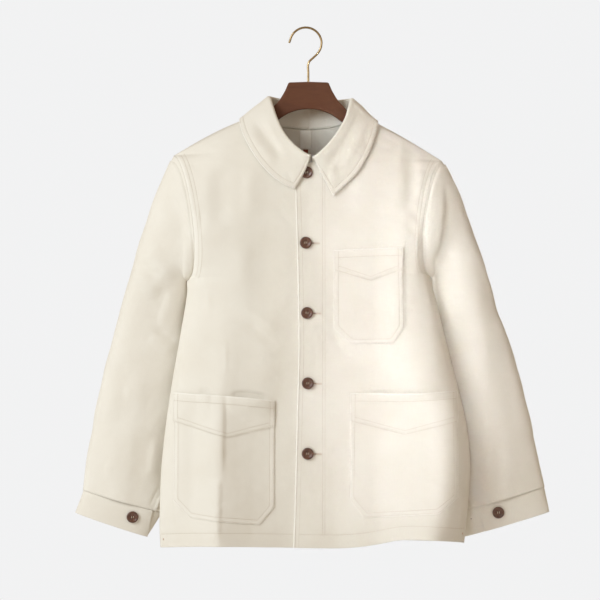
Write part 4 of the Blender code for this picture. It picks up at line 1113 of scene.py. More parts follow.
def bars(name, rows, material, thick):
    """Single straight threads, one for each row, as one piece."""
    points, faces = [], []
    for path, normals in rows:
        first, last = path[0], path[-1]
        centre = np.array([first, first * 0.8 + last * 0.2, first * 0.2 + last * 0.8, last])
        normal = unit(normals[[0, 0, -1, -1]])
        across = unit(np.cross(normal, unit(centre[3:] - centre[:1])))
        centre = centre + normal * np.array([[-0.3], [0.5], [0.5], [-0.3]]) * thick
        faces += stitch_faces(len(points) * STITCH_POINTS, 1)
        points.append(stitch_points(centre[None], normal[None], across[None], thick)[0])
    return place(mesh_piece(name, np.concatenate(points), faces, material), "cloth")


SLIT_SIDES = 16
SLIT_HALF = 0.5  # half the height of a slit


def slit_piece(name, slits, material):
    """The open middles of buttonholes: low dark lenses on the cloth, painting the shade inside each
    slit.
    """
    turns = np.linspace(0, 2 * math.pi, SLIT_SIDES + 1)[:-1]
    points, faces = [], []
    for skin, x, z, reach in slits:
        rings = []
        for r in (1.0, 0.7, 0.05):
            level = z + r * SLIT_HALF * np.sin(turns) + HOLE_TILT * r * reach * np.cos(turns)
            rings.append((x + r * reach * np.cos(turns), level))
        start = len(points) * SLIT_SIDES
        for (a, b), lift in zip([*rings, rings[0]], (0.06, 0.16, 0.2, -0.4)):
            points.append(skin(a, b) + skin_normals(skin, a, b, -1) * lift)
        ring = np.arange(SLIT_SIDES) + start
        ahead = np.roll(ring, -1)
        for low, high in ((3, 0), (0, 1), (1, 2)):
            a, b = SLIT_SIDES * low, SLIT_SIDES * high
            faces += np.stack([ring + a, ahead + a, ahead + b, ring + b], axis=-1).tolist()
        faces += [(ring + 2 * SLIT_SIDES).tolist(), (ring + 3 * SLIT_SIDES)[::-1].tolist()]
    return place(mesh_piece(name, np.concatenate(points), faces, material), "cloth")


# ---------------------------------------------------------------- the body's cloth and rows
CUTS = {  # the flat size each piece is cut to: width, length and area, in metres
    "front_right": (0.30, 0.74, 0.190),
    "front_left": (0.30, 0.74, 0.185),
    "back": (0.56, 0.74, 0.360),
    "sleeve_right": (0.40, 0.60, 0.148),
    "sleeve_left": (0.40, 0.60, 0.148),
    "cuff_right": (0.30, 0.045, None),
    "cuff_left": (0.31, 0.045, None),
    "collar": (0.47, 0.12, 0.050),
}


ARM_ROW_TURNS = np.linspace(0.3, 2.88, 40)  # where the rows round an armhole run
HEM_ROW_START = {"right": -20.0, "left": -16.0}  # x of a front's hem row at the placket


def body_rows(name):
    """The lines sewn on a panel of the body, in the front view."""
    rows = []
    if name != "back":
        side = name[6:]
        inner = HEM_ROW_START[side]
        outer = SIDES[side][0] - 2 * SIGN[side]
        xs = np.linspace(inner, outer, 24)
        if side == "right":
            xs = xs[::-1]
        hem = smooth(xs, FRONT_HEM["x"], FRONT_HEM["height"])
        rows.append(np.stack([xs, hem + HEM_ROW], axis=-1))
        sides = [(side, False)]
    else:
        xs = np.linspace(-241, 253, 40)
        hem = HEM_HEIGHT + HEM_ROW + HEM_ROW_RAISE * on_left(xs)
        rows.append(np.stack([xs, hem], axis=-1))
        sides = [("right", True), ("left", True)]
    for side, back in sides:
        hole = armhole(side, ARM_ROW_TURNS * (-1 if back else 1))[:, [0, 2]]
        rows += [beside(hole, gap * SIGN[side]) for gap in ARM_ROWS]
    if name == "front_left":
        z = np.linspace(-846, -226, 60)
        edge = smooth(z, PLACKET_EDGE["height"], PLACKET_EDGE["x"])
        for gap in (PLACKET_ROW, 8.6):
            rows.append(np.stack([edge + gap, z], axis=-1)[::-1])
        for x in FACING_ROWS:
            rows.append(np.array([(x, -240.0), (x + 0.4, -500.0), (x, -828.0)]))
    return rows


def tack_rows():
    """Short stitches that hold the side seams' ends above the hem."""
    found = []
    for side, x, z in (("left", 249.5, -827.0), ("right", -238.5, -838.0)):
        skin = panel_skin("front_" + side)
        for i in range(4):
            found.append(skin_row(skin, [(x, z + 0.8 * i), (x + 2.4, z + 0.8 * i)], lift=0.05))
    return found


CUFF_SLIT = (268.0, -806.0)  # where the under end's buttonhole shows


def cuff_skin(side):
    """The outside of a cuff's under end, over the front view."""
    def skin(x, z):
        grid = cuff_points(side, np.linspace(0, 1, 30)[:, None], np.linspace(0.9, 1, 30)[None, :])
        flat = grid.reshape(-1, 3)
        x, z = grids_of(x, z)
        gap = (x[..., None] - flat[:, 0]) ** 2 + (z[..., None] - flat[:, 2]) ** 2
        share = 1 / (gap + 1.0) ** 2
        y = np.sum(share * flat[:, 1], axis=-1) / np.sum(share, axis=-1)
        return np.stack([x, y - CUFF_CLOTH / 2, z], axis=-1)

    return skin


def relief(lines, x, z, seed):
    """How far all the rows of a piece draw its cloth in."""
    total = np.zeros(np.shape(x))
    for i, line in enumerate(lines):
        total = total + sewn(line, x, z, seed + 1.7 * i)
    return total


def body_piece(name, material):
    """The cloth of a front or of the back."""
    grids, _ = fine_body()
    points, normals, _ = grids[name]
    lines = body_rows(name)
    x, z = points[..., 0], points[..., 2]
    raised = relief(lines, x, z, len(name))
    # Lighter cloth on the welts beside the armhole rows: partly wear, partly a painted highlight
    # where the light from the left catches them.
    worn = np.zeros(x.shape)
    for side in SIGN if name == "back" else (name[6:],):
        turns = ARM_ROW_TURNS * (-1 if name == "back" else 1)
        gap, _, _ = nearest(armhole(side, turns)[:, [0, 2]], x, z)
        worn = worn + 0.55 * hump(gap, 4.0)
    if name != "back":
        raised = raised + creases(MOUTH_HOLLOWS, x, z)
    if name == "front_left":  # the placket's edge is a plump fold
        gap = x - smooth(z, PLACKET_EDGE["height"], PLACKET_EDGE["x"])
        raised = raised + rolled(gap, 2.6, 1.1) - 0.5 * hump(gap - 3.6, GROOVE)
        # the placket's folded edge is lightened: partly wear, partly a painted highlight where the
        # light catches it
        worn = worn + eased(2.6 - gap)
    outer = points + normals * raised[..., None]
    folded = outer[1:-1, 0].copy()
    outer[:, 0], outer[:, -1], outer[-1] = points[:, 0], points[:, -1], points[-1]
    if name == "front_left":
        outer[1:-1, 0] = folded
    piece = cloth_wall(name + "_cloth", outer, points - normals * CLOTH, material, worn=worn)
    return place(piece, "cloth", [name])


def panel_skin(name):
    """The outside of one of the body's three panels."""
    if name == "back":
        return back_skin
    return lambda x, z: front_skin(name[6:], x, z)


MOUTH_HOLLOWS = (  # where the cloth falls back behind the pockets' mouths and right edges
    (-1.3, 6, 2, (70, -594.6), (146, -596.4), (233, -592.2)),
    (-1.2, 6, 2, (44, -363), (149, -357.2)),
    (-1.1, 2, 5, (157.6, -364), (158.6, -488), (139, -517)),
    (-3.4, 9, 4, (-130, -597), (-96, -599), (-62, -604)),
    (-1.6, 6, 3, (-178, -592), (-160, -593)),
)


# ---------------------------------------------------------------- sleeves and cuffs
SLEEVE_FINE_ROWS = 176
SLEEVE_BLEND = 0.03  # the share of a sleeve over which its cloth turns into the armhole's seam
HIDDEN_FOLDS = (6.0, 42.0, 0.8)  # how far they lie inwards and down, and how high
CUFF_ROW, CUFF_END_ROWS = 2.4, (1.8, 8.0)
CUFF_AROUND = 300.0  # from one end of a cuff to the other


def sleeve_detail(side, x, z, out, share):
    """The sleeve's small folds. Its hidden side has the front's, moved and a little softer."""
    front = creases(SLEEVE_CREASES[side], x, z)
    moved_x, moved_z, softer = HIDDEN_FOLDS
    hidden = creases(SLEEVE_CREASES[side], x + moved_x * SIGN[side], z + moved_z) * softer
    total = np.where(out >= 0, front, hidden) * np.abs(out) ** 0.4
    total = total + ripple(x, z, 21 if side == "left" else 23, height=0.8)
    total = total + ripple(x, z, 22, length=24.0, height=0.12)
    total = total * eased(share / 0.03) * eased((1 - share) / 0.025)
    slit = creases(SLEEVE_SLITS[side], x, z) * eased(out / 0.1)
    return total + slit * eased((1 - share) / 0.006)


def sleeve_piece(side, material):
    """A sleeve's cloth, from the armhole's seam to the cuff's."""
    _, seams = fine_body()
    half = math.pi * np.arange(ARM_STEPS + 1) / ARM_STEPS
    turns = np.concatenate([half, -half[::-1][1:-1]])
    share = np.linspace(0, 1, SLEEVE_FINE_ROWS + 1)[:, None]
    points = sleeve_points(side, share, turns[None, :])
    wrapped = np.concatenate([points[:, -1:], points, points[:, :1]], axis=1)
    normals = grid_normals(wrapped)[:, 1:-1] * -SIGN[side]
    under = hump(share - 0.022, 0.016) * eased(-np.cos(turns) * 3 - 1.8)[None, :]
    points[..., 0] -= SIGN[side] * 1.6 * under
    detail = sleeve_detail(side, points[..., 0], points[..., 2], np.sin(turns)[None, :], share)
    points = points + normals * detail[..., None]
    wrapped = np.concatenate([points[:, -1:], points, points[:, :1]], axis=1)
    normals = grid_normals(wrapped)[:, 1:-1] * -SIGN[side]
    front_normals, front_shift = seams[side, False]
    back_normals, back_shift = seams[side, True]
    seam = np.concatenate([front_normals[::-1], back_normals[1:-1]])
    blend = eased(share / SLEEVE_BLEND)[..., None]
    normals = unit(seam[None] * (1 - blend) + normals * blend)
    points[0] += np.concatenate([front_shift[::-1], back_shift[1:-1]])
    name = "sleeve_" + side
    inner = points - normals * CLOTH
    piece = cloth_wall(name + "_cloth", points, inner, material, closed=True, turn=0.12)
    return place(piece, "cloth", [name])


def cuff_grid(side):
    """A cuff's middle surface and its normals, and how far down and around each place is."""
    foot = CUFF_FOOT[side]
    length = abs(foot["outer"][1] - SLEEVES[side]["outer_z"][-1])
    gap = 0.12 * CUFF_SEAM_GAP
    down = gap + crowded(length - gap, 2.2, start=(CUFF_ROW,), end=(CUFF_ROW,))
    around = crowded(CUFF_AROUND, 2.4, start=CUFF_END_ROWS, end=CUFF_END_ROWS)
    points = cuff_points(side, (down / length)[:, None], (around / CUFF_AROUND)[None, :])
    normals = grid_normals(points) * SIGN[side]
    wave = ripple(around[None, :], down[:, None], 31, length=60.0, height=0.35)
    ends = eased(down / 8.0)[:, None]
    points = points + normals * (wave * ends)[..., None]
    return points, grid_normals(points) * SIGN[side], down, around


def cuff_piece(side, material):
    """A cuff's cloth, and its rows of stitches."""
    points, normals, down, around = cuff_grid(side)
    length = down[-1]
    groove = np.zeros(points.shape[:2])
    for at in (CUFF_ROW, length - CUFF_ROW):
        groove -= 0.3 * hump(down - at, GROOVE)[:, None]
    for at in CUFF_END_ROWS:
        for gap in (around - at, CUFF_AROUND - around - at):
            groove -= 0.35 * hump(gap, 1.0)[None, :]
    seam_wave = np.sin(around / 2.2)[None, :] + np.sin(around / 3.7 + 1)[None, :]
    groove += 0.15 * seam_wave * np.exp(-np.abs(down - CUFF_ROW) / 5)[:, None]
    half = CUFF_CLOTH / 2
    outer = points + normals * (half + groove)[..., None]
    inner = points - normals * half
    ends = np.minimum(around, CUFF_AROUND - around)[None, :]
    edge = np.minimum(ends, 1.4 + (length - down)[:, None])
    # the cuff's edges are lightened: partly wear, partly a painted highlight where they catch the
    # light
    worn = eased((2.4 - edge) / 1.2)
    piece = cloth_wall(f"cuff_{side}_cloth", outer, inner, material, turn=0.18, worn=worn)
    place(piece, "cloth", ["cuff_" + side])
    columns, rows = np.arange(len(around)), np.arange(len(down))
    lift = half - 0.3
    found = []
    for at in (CUFF_ROW, length - CUFF_ROW):
        row = np.interp(at, down, rows)
        found.append(grid_row(points, normals, row, np.arange(1.0, len(columns) - 1, 0.7), lift))
    for at in (*CUFF_END_ROWS, *(CUFF_AROUND - at for at in CUFF_END_ROWS)):
        column = np.interp(at, around, columns)
        ends = np.interp([CUFF_ROW, length - CUFF_ROW], down, rows)
        found.append(grid_row(points, normals, np.linspace(*ends, 30), column, lift))
    return piece, found


# ---------------------------------------------------------------- the collar
COLLAR_FINE_STATIONS = 250
COLLAR_ROWS = (1.8, 8.2)
COLLAR_NEAR = (0.0, 0.8, 1.8, 2.8, 4.2, 5.8, 7.2, 8.2, 9.2, 11.0, 13.0)
FALL_POINTS = 20
FALL_START = 19  # a section's points from here on lie on the fall
FAR_IN = 99.0  # further in from the edge than any row
COLLAR_SHOULDERS = (7, 17)  # the rows of the table that lie on the shoulder seams
COLLAR_BOW = np.array([3.8, -0.6, 0.8])  # the right leaf's front edge bows over the top button


def fine_neckline():
    """The neckline of the fine panels, their normals, and directions into the opening."""
    grids, _ = fine_body()
    right, right_normals, below = grids["front_right"]
    left, left_normals, _ = grids["front_left"]
    foot = below + ARM_STEPS - NECK_STEPS
    right, right_normals = right[foot:, 0], right_normals[foot:, 0]
    left, left_normals = left[foot:, 0][::-1], left_normals[foot:, 0][::-1]
    back, back_normals, _ = grids["back"]
    edge = np.abs(back[-1, :, 0]) < NECK_POINT[0] - 0.01
    back, back_normals = back[-1, edge], back_normals[-1, edge]
    points = np.concatenate([right, back, left])
    normals = unit(np.concatenate([right_normals, back_normals, left_normals]))
    into = unit(np.cross(normals, unit(np.gradient(points, axis=0))))
    centre = np.array([0.0, 0.0, NECK_POINT[2]])
    into = into * np.sign(np.sum(into * (centre - points), axis=-1, keepdims=True))
    return points, normals, into, len(left)


def fine_section(share, seam, normal, into):
    """One section of the collar: up the stand, over the fold and down the fall to its edge."""
    row = {key: float(smooth(share, COLLAR["share"], COLLAR[key])) for key in COLLAR}
    over_back = COLLAR["share"][COLLAR_SHOULDERS[0]] < share < COLLAR["share"][COLLAR_SHOULDERS[1]]
    start = seam - normal * CLOTH / 2 + into * COLLAR_SEAM_GAP
    fold = np.array([row["fold_x"], row["fold_y"], row["fold_z"]])
    edge = body_point(row["edge_x"], row["edge_z"], over_back, row["lift"] - 1.4)
    down_in, down_out = unit(start - fold), unit(edge - fold)
    apex = -unit(down_in + down_out)
    aside = unit(down_out - down_in)
    centre = fold - apex * COLLAR_FOLD_RADIUS
    arc = [
        centre + COLLAR_FOLD_RADIUS * (math.cos(a) * apex + math.sin(a) * aside)
        for a in np.linspace(-COLLAR_ARC, COLLAR_ARC, 9)
    ]
    stand = [start + (arc[0] - start) * t for t in np.linspace(0, 1, 10)[:-1]]
    length = np.linalg.norm(edge - arc[-1])
    near = 1 - np.array(COLLAR_NEAR[::-1]) / length
    fall = np.concatenate([np.linspace(0, near[0], FALL_POINTS)[1:-1], near])
    bow = COLLAR_BOW * eased(1 - share / 0.07)
    fall = [arc[-1] + (edge - arc[-1]) * t + bow * math.sin(math.pi * t**0.8) for t in fall]
    return np.array(stand + arc + fall)


@lru_cache(maxsize=1)
def collar_grid():
    """The collar's middle surface, which way it faces, and how far along it each section is."""
    points, normals, into, neck = fine_neckline()
    ends = [
        np.interp(-COLLAR_END_X[0], -points[:neck, 0], np.arange(neck)),
        len(points) - neck + np.interp(-COLLAR_END_X[1], -points[-neck:, 0], np.arange(neck)),
    ]
    whole = np.arange(math.ceil(ends[0]), math.floor(ends[1]) + 1)
    steps = np.unique(np.concatenate([ends[:1], whole, ends[1:]]))

    def at(values, step):
        """The values between two of their steps."""
        i = min(int(step), len(values) - 2)
        return values[i] + (values[i + 1] - values[i]) * (step - i)

    places = np.array([at(points, step) for step in steps])
    run = np.concatenate([[0], np.cumsum(np.linalg.norm(np.diff(places, axis=0), axis=1))])
    total = run[-1]
    stations = crowded(total, total / COLLAR_FINE_STATIONS, start=COLLAR_ROWS, end=COLLAR_ROWS)
    sections = []
    for station in stations:
        step = float(np.interp(station, run, steps))
        normal = unit(at(normals, step))
        sections.append(
            fine_section(station / total, at(points, step), normal, unit(at(into, step)))
        )
    grid = np.array(sections)
    out = grid_normals(grid)
    if out[len(out) // 12, -6, 1] > 0:  # the right leaf has to face the front
        out = -out
    x, z = grid[..., 0], grid[..., 2]
    soft = eased((np.arange(grid.shape[1]) - FALL_START) / 6.0)
    detail = creases(COLLAR_CREASES, x, z) + ripple(x, z, 41, length=55.0, height=0.5)
    grid = grid + out * (detail * soft)[..., None]
    out_again = grid_normals(grid)
    if np.sum(out_again * out) < 0:
        out_again = -out_again
    return grid, out_again, stations, total


def collar_piece(material):
    """The collar's cloth, and its rows of stitches."""
    grid, out, stations, total = collar_grid()
    last = grid.shape[1] - 1
    from_edge = np.full(grid.shape[1], FAR_IN)
    from_edge[last - len(COLLAR_NEAR) + 1 :] = COLLAR_NEAR[::-1]
    on_fall = np.arange(last + 1) > FALL_START
    groove = np.zeros(grid.shape[:2])
    for at in COLLAR_ROWS:
        groove -= 0.4 * hump(from_edge - at, GROOVE)[None, :]
        for gap in (stations, total - stations):
            groove -= 0.4 * hump(gap - at, GROOVE)[:, None] * on_fall
    half = COLLAR_CLOTH / 2
    ends = np.minimum(stations, total - stations)[:, None]
    edge = np.minimum(from_edge[None, :], np.where(on_fall, ends, FAR_IN))
    groove = groove + rolled(edge, 2.8, 1.1)
    outer = grid + out * (half + groove)[..., None]
    inner = grid - out * half
    # the collar's edges are lightened: partly wear, partly a painted highlight where they catch the
    # light
    worn = eased((2.8 - edge) / 1.2)
    piece = cloth_wall("collar_cloth", outer, inner, material, turn=0.6, worn=worn)
    place(piece, "cloth", ["collar"])
    rows = np.arange(len(stations))
    lift = half - 0.35
    found = []
    for at in COLLAR_ROWS:
        column = float(np.interp(at, COLLAR_NEAR, last - np.arange(len(COLLAR_NEAR))))
        ends = np.interp([at, total - at], stations, rows)
        found.append(grid_row(grid, out, np.arange(ends[0], ends[1], 0.6), column, lift))
        for place_at in (at, total - at):
            row = float(np.interp(place_at, stations, rows))
            down = np.arange(24.0, column, 0.5)
            found.append(grid_row(grid, out, row, down, lift))
    return piece, found


# ---------------------------------------------------------------- pockets and labels
POCKET_STEP = 2.4
POCKET_ROWS = (1.5, 7.6)
MOUTH_ROW = 13.0  # the row below each pocket's mouth
POCKET_FOLD = 0.2  # the turned edges are this much thicker
MOUTH_BOW = {  # where each mouth stands off the cloth: from, to, how far
    "hip_right": ((-180.0, -158.0, 3.0), (-134.0, -57.0, 7.0)),
    "hip_left": ((72.0, 152.0, 3.0), (152.0, 238.0, 1.8)),
    "chest": ((44.0, 149.0, 1.3),),
}


def across_pocket(left, right, marks=()):
    """Places between two sides, close together at the rows and with one at each mark."""
    places = left + crowded(right - left, POCKET_STEP, start=POCKET_ROWS, end=POCKET_ROWS)
    for mark in marks:
        places[np.argmin(np.abs(places - mark))] = mark
    return places


def pocket_lines(pocket):
    """The sewn rows of the lower panel and of the upper one, in the front view."""
    left, apex, right = pocket["v"]
    outline = [left, *pocket["foot"], right]
    lower = [beside(outline, -gap) for gap in POCKET_ROWS]
    v, top = np.array([left, apex, right], float), np.array(pocket["top"], float)
    upper = []
    for gap in POCKET_ROWS:
        upper.append(v + np.array([(gap, gap), (0, gap), (-gap, gap)]))
        for high, low, inward in ((top[0], left, gap), (top[2], right, -gap)):
            ends = (high[0] + inward, high[1] - 1.5), (low[0] + inward, low[1] + 1)
            upper.append(np.array(ends))
    upper.append(top + np.array([(1.5, -MOUTH_ROW), (0, -MOUTH_ROW), (-1.5, -MOUTH_ROW)]))
    return lower, upper


def pocket_panel(name, pocket, part, material):
    """One panel of a pocket, over the cloth of the front, with its rows of stitches."""
    lower_lines, upper_lines = pocket_lines(pocket)
    left_x = pocket["top"][0][0]
    right_x = pocket["v"][2][0]
    corners = [point[0] for point in pocket["foot"][1:3]]
    v_x, v_z = np.array(pocket["v"], float).T
    if part == "lower":
        x = across_pocket(pocket["v"][0][0], right_x, corners)[None, :]
        foot_x, foot_z = np.array(pocket["foot"], float).T
        low = np.interp(x, foot_x, foot_z)
        tuck = max(v_z[0], v_z[2]) + POCKET_TUCK
        high = np.full_like(x, tuck)
        tall = tuck - min(foot_z)
        down = crowded(tall, POCKET_STEP, end=POCKET_ROWS)[:, None] / tall
        lines, lift = lower_lines, LAP_GAP + POCKET_CLOTH
    else:
        x = across_pocket(left_x, right_x, [pocket["v"][1][0]])[None, :]
        top_x, top_z = np.array(pocket["top"], float).T
        high, low = smooth(x, top_x, top_z), np.interp(x, v_x, v_z)
        tall = float(np.max(high - low))
        down = crowded(tall, POCKET_STEP, start=(MOUTH_ROW,), end=POCKET_ROWS)[:, None] / tall
        lines, lift = upper_lines, 2 * (LAP_GAP + POCKET_CLOTH)
    z = high - (high - low) * down
    x = np.broadcast_to(x, z.shape)
    skin = pocket_skin(name, pocket, lift)
    points = skin(x, z)
    normals = skin_normals(skin, x, z, -1)
    edge = np.minimum(x - x[:, :1], x[:, -1:] - x)
    if part == "lower":
        gap, _, _ = nearest([pocket["v"][0], *pocket["foot"], pocket["v"][2]], x, z)
        edge = sides = np.minimum(edge, np.abs(gap))
    else:
        sides = np.minimum(edge, high - z)
        edge = np.minimum(edge, np.minimum(high - z, z - low))
    fold = POCKET_FOLD * (1 - eased((edge - POCKET_ROWS[1]) / 1.6))
    fold = fold + rolled(sides, 2.0, 0.6)
    # the turned edges and the welt between the rows are lightened: partly wear, partly a painted
    # highlight where light catches them
    worn = 0.8 * eased(2.2 - sides) + 0.12 * eased(POCKET_ROWS[1] - sides)
    if part == "upper":  # its lapped edge is pressed flat, less so on its right half
        press = 1.0 + 0.25 * eased((v_x[1] - x) / 16.0 + 0.5)
        fold = np.maximum(fold - press * eased(1 - (z - low) / 5.0), -1.1)
    outer = points + normals * (fold + relief(lines, x, z, len(name)))[..., None]
    inner = points - normals * POCKET_CLOTH
    node = f"{name}_pocket_{part}"
    piece = cloth_wall(node + "_cloth", outer, inner, material, turn=0.4, worn=worn)
    place(piece, "cloth", [node])
    lifts = [POCKET_FOLD - 0.25] * len(lines)
    if part == "upper":
        lifts[0] -= 0.85
    rows = [skin_row(skin, line, lift=lift) for line, lift in zip(lines, lifts)]
    return piece, rows


def pocket_skin(name, pocket, lift):
    """The outside of a pocket's cloth, over the front's: its mouth bows out a little."""
    (left, left_z), _, (right, right_z) = pocket["top"]
    base = panel_skin(pocket["front"])

    def skin(x, z):
        x, z = grids_of(x, z)
        across = np.clip((x - left) / (right - left), 0, 1)
        top = left_z + (right_z - left_z) * across
        bow = 0.0
        for start, end, rise in MOUTH_BOW[name]:
            share = np.clip((x - start) / (end - start), 0, 1)
            bow = bow + rise * np.sin(math.pi * share) ** 0.8
        bow = bow * eased(1 - (top - z) / 42.0)
        points = base(x, z)
        normals = skin_normals(base, x, z, -1, step=2.0)
        return points + normals * (lift + bow)[..., None]

    return skin


def label_piece(name, material):
    label = LABELS[name]
    x = np.linspace(*label["x"], 15)[None, :]
    low, high = label["z"]
    z = np.linspace(low, high + (1.4 if name == "neck_label" else 0.0), 25)[:, None]
    x, z = np.broadcast_arrays(x, z)
    base = back_skin(x, z)
    normals = skin_normals(back_skin, x, z, 1, step=2.0)
    out = -normals
    lift = CLOTH + label["gap"] + label["cloth"]
    curl = ripple(x, z, 51, length=14.0, height=0.12) + 0.12
    outer = base + out * (lift + curl)[..., None]
    inner = base + out * (lift - label["cloth"] + curl * 0.5)[..., None]
    piece = cloth_wall(name + "_cloth", outer, inner, material, turn=0.2)
    return place(piece, "tab" if name == "size_tab" else "label", [name])


# ---------------------------------------------------------------- buttons
BUTTON_SIDES = 64
BUTTON_FACE = (  # radius and height of the turned shape, finer than its solid
    (0, 2.2), (0.7, 2.2), (1.4, 2.2), (2.1, 2.22), (2.8, 2.26), (3.5, 2.3), (4.3, 2.34),
    (5.1, 2.42), (5.7, 2.62), (6.2, 2.95), (6.8, 3.3), (7.5, 3.52), (8.2, 3.56), (8.8, 3.42),
    (9.3, 3.1), (9.6, 2.6), (9.7, 2), (9.6, 1.4), (9.2, 0.85), (8.4, 0.4), (7.2, 0.12), (0, 0),
)
FACE_RINGS = 16  # this many of its rings lie on the face
HOLE_REACH, HOLE_SIZE = 1.55, 0.85
BAR_SIDES = 8  # of the thread between two holes, and how many parts it has


def button_piece(name, point, outward, material, thread, tilt=0.0):
    """A turned button with a raised rim and four sewn holes."""
    profile = np.array(BUTTON_FACE)
    turns = np.arange(BUTTON_SIDES) * 2 * math.pi / BUTTON_SIDES
    rings = profile[1:-1]
    x = rings[:, :1] * np.cos(turns)[None, :]
    y = rings[:, :1] * np.sin(turns)[None, :]
    z = np.repeat(rings[:, 1:], BUTTON_SIDES, axis=1)
    front = (np.arange(len(rings)) < FACE_RINGS)[:, None]
    for sx in (-1, 1):
        for sy in (-1, 1):
            gap = np.hypot(x - sx * HOLE_REACH, y - sy * HOLE_REACH)
            z = z - front * (1 - eased((gap - HOLE_SIZE * 0.55) / (HOLE_SIZE * 0.7)))
    z = z + front * 0.05 * np.sin(3 * turns[None, :] + rings[:, :1])
    points = [np.array([[0, 0, profile[0, 1]]]), np.stack([x, y, z], -1).reshape(-1, 3)]
    points.append(np.array([[0, 0, 0.0]]))
    count = len(rings) * BUTTON_SIDES
    index = 1 + np.arange(count).reshape(len(rings), BUTTON_SIDES)
    ahead = np.roll(index, -1, axis=1)
    faces = [[0, a, b] for a, b in zip(index[0], ahead[0])]
    quads = np.stack([index[:-1], index[1:], ahead[1:], ahead[:-1]], -1).reshape(-1, 4)
    faces += quads.tolist()
    faces += [[count + 1, b, a] for a, b in zip(index[-1], ahead[-1])]
    kinds = [0] * len(faces)
    start = count + 2
    for sx in (-1, 1):
        ring = np.linspace(0, 2 * math.pi, BAR_SIDES + 1)[:-1]
        for t in np.linspace(-1, 1, BAR_SIDES + 1):
            width = 0.52 * (1 - 0.35 * t**4)
            height = 2.28 + 0.38 * (1 - t**4) - 0.75 * t**8
            aside, up = sx * HOLE_REACH + width * np.cos(ring), height + 0.4 * np.sin(ring)
            points.append(np.stack([aside, np.full(BAR_SIDES, t * (HOLE_REACH + 0.15)), up], -1))
        grid = start + np.arange(BAR_SIDES * (BAR_SIDES + 1)).reshape(-1, BAR_SIDES)
        ahead = np.roll(grid, -1, axis=1)
        quads = np.stack([grid[:-1], ahead[:-1], ahead[1:], grid[1:]], -1).reshape(-1, 4)
        faces += [*quads.tolist(), grid[0, ::-1].tolist(), grid[-1].tolist()]
        kinds += [1] * (len(quads) + 2)
        start += grid.size
    turned = Vector(outward).normalized().to_track_quat("Z", "Y").to_matrix()
    cosine, sine = math.cos(tilt), math.sin(tilt)
    spin = np.array([[cosine, -sine, 0], [sine, cosine, 0], [0, 0, 1]])
    points = np.concatenate(points) @ spin.T @ np.array(turned).T
    points = points + np.asarray(point) + unit(np.asarray(outward, float)) * BUTTON_STAND
    piece = mesh_piece(name + "_turned", points, faces, [material, thread], kinds)
    return place(piece, "button", [name])


def front_button_places():
    for i, x in enumerate(BUTTON_X):
        z = BUTTON_TOP - BUTTON_PITCH * i
        reach = BUTTON_REACH
        y = float(body_y(x, z, False))
        slope_z = float(body_y(x, z + reach, False) - body_y(x, z - reach, False)) / (2 * reach)
        slope_x = float(body_y(x + reach, z, False) - body_y(x - reach, z, False)) / (2 * reach)
        yield f"front_button_{i + 1}", (x, y, z), (slope_x, -1.0, slope_z)


def cuff_button_places():
    for side, (turn, down) in CUFF_BUTTONS.items():
        at = cuff_points(side, np.array(down), np.array(turn))
        ahead = cuff_points(side, np.array(down), np.array(turn + 0.01)) - at
        below = cuff_points(side, np.array(down + 0.05), np.array(turn)) - at
        outward = np.cross(ahead, below)
        outward = outward / np.linalg.norm(outward) * -np.sign(outward[1])
        yield f"cuff_button_{side}", at + outward * CUFF_CLOTH / 2, outward


# ---------------------------------------------------------------- the hanger
def arm_heights(side, x):
    """The arm's top and foot: the top lies as high as the board fits between the cloths."""
    ridge = float(shoulder_height(side, x))
    heights = ridge - np.arange(BOARD_CLEAR, 30.0, 0.25)
    space = np.minimum(body_y(x, heights, True), -body_y(x, heights, False))
    top = float(heights[np.argmax(space > BOARD_SPACE)])
    return top, ridge - BOARD_CLEAR - BOARD_TALL


def eased_line(points, parts):
    """A smooth line through points, with some parts to each gap."""
    points = np.asarray(points, float)
    knots = np.concatenate([[0], np.cumsum(np.hypot(*np.diff(points, axis=0).T))])
    at = np.concatenate([
        np.linspace(low, high, parts + 1)[:-1] for low, high in zip(knots, knots[1:])
    ] + [[knots[-1]]])
    return smooth(at, knots, points)


BLOCK_CORNER = ((32.3, -89.2), (33.6, -90.6), (34.2, -92.2))


def board_outline():
    """The board in the front view, from the middle of its top round its left and right halves."""
    outline = []
    for side in ("left", "right"):
        sign = SIGN[side]
        top = [*eased_line(BLOCK_TOP[:2], 1), *BLOCK_CORNER, *eased_line(BLOCK_TOP[3:], 4)]
        half = [(sign * x, z) for x, z in top]
        for x in BOARD_ARM:
            half.append((sign * x, arm_heights(side, sign * x)[0]))
        tip_top, tip_foot = arm_heights(side, sign * BOARD_TIP)
        half += [
            (sign * (BOARD_TIP - 2), tip_top - 3),
            (sign * BOARD_TIP, tip_top - 8),
            (sign * (BOARD_TIP - 3), tip_foot + 6),
        ]
        for x in BOARD_ARM[::-2]:
            half.append((sign * x, arm_heights(side, sign * x)[1]))
        half += [(sign * x, z) for x, z in eased_line(BOARD_ARCH, 4)]
        outline += half if side == "left" else half[::-1][1:-1]
    return outline


def curve_piece(name, points, material, **settings):
    curve = bpy.data.curves.new(name, "CURVE")
    for key, value in settings.items():
        setattr(curve, key, value)
    spline = curve.splines.new("POLY")
    spline.points.add(len(points) - 1)
    for point, at in zip(spline.points, points):
        point.co = (*at, 1.0)
    spline.use_cyclic_u = curve.dimensions == "2D"
    spline.use_smooth = True
    curve.materials.append(material)
    return bpy.data.objects.new(name, curve)


def hook_line():
    centre_z = HOOK_WIRE - HOOK_RADIUS
    arc = [
        (-HOOK_RADIUS * math.cos(a), centre_z + HOOK_RADIUS * math.sin(a))
        for a in np.linspace(*HOOK_ARC, 60)
    ]
    rest = eased_line([arc[-1], *HOOK_RETURN], 6)[1:]
    return [HOOK_TIP, *arc, *rest]


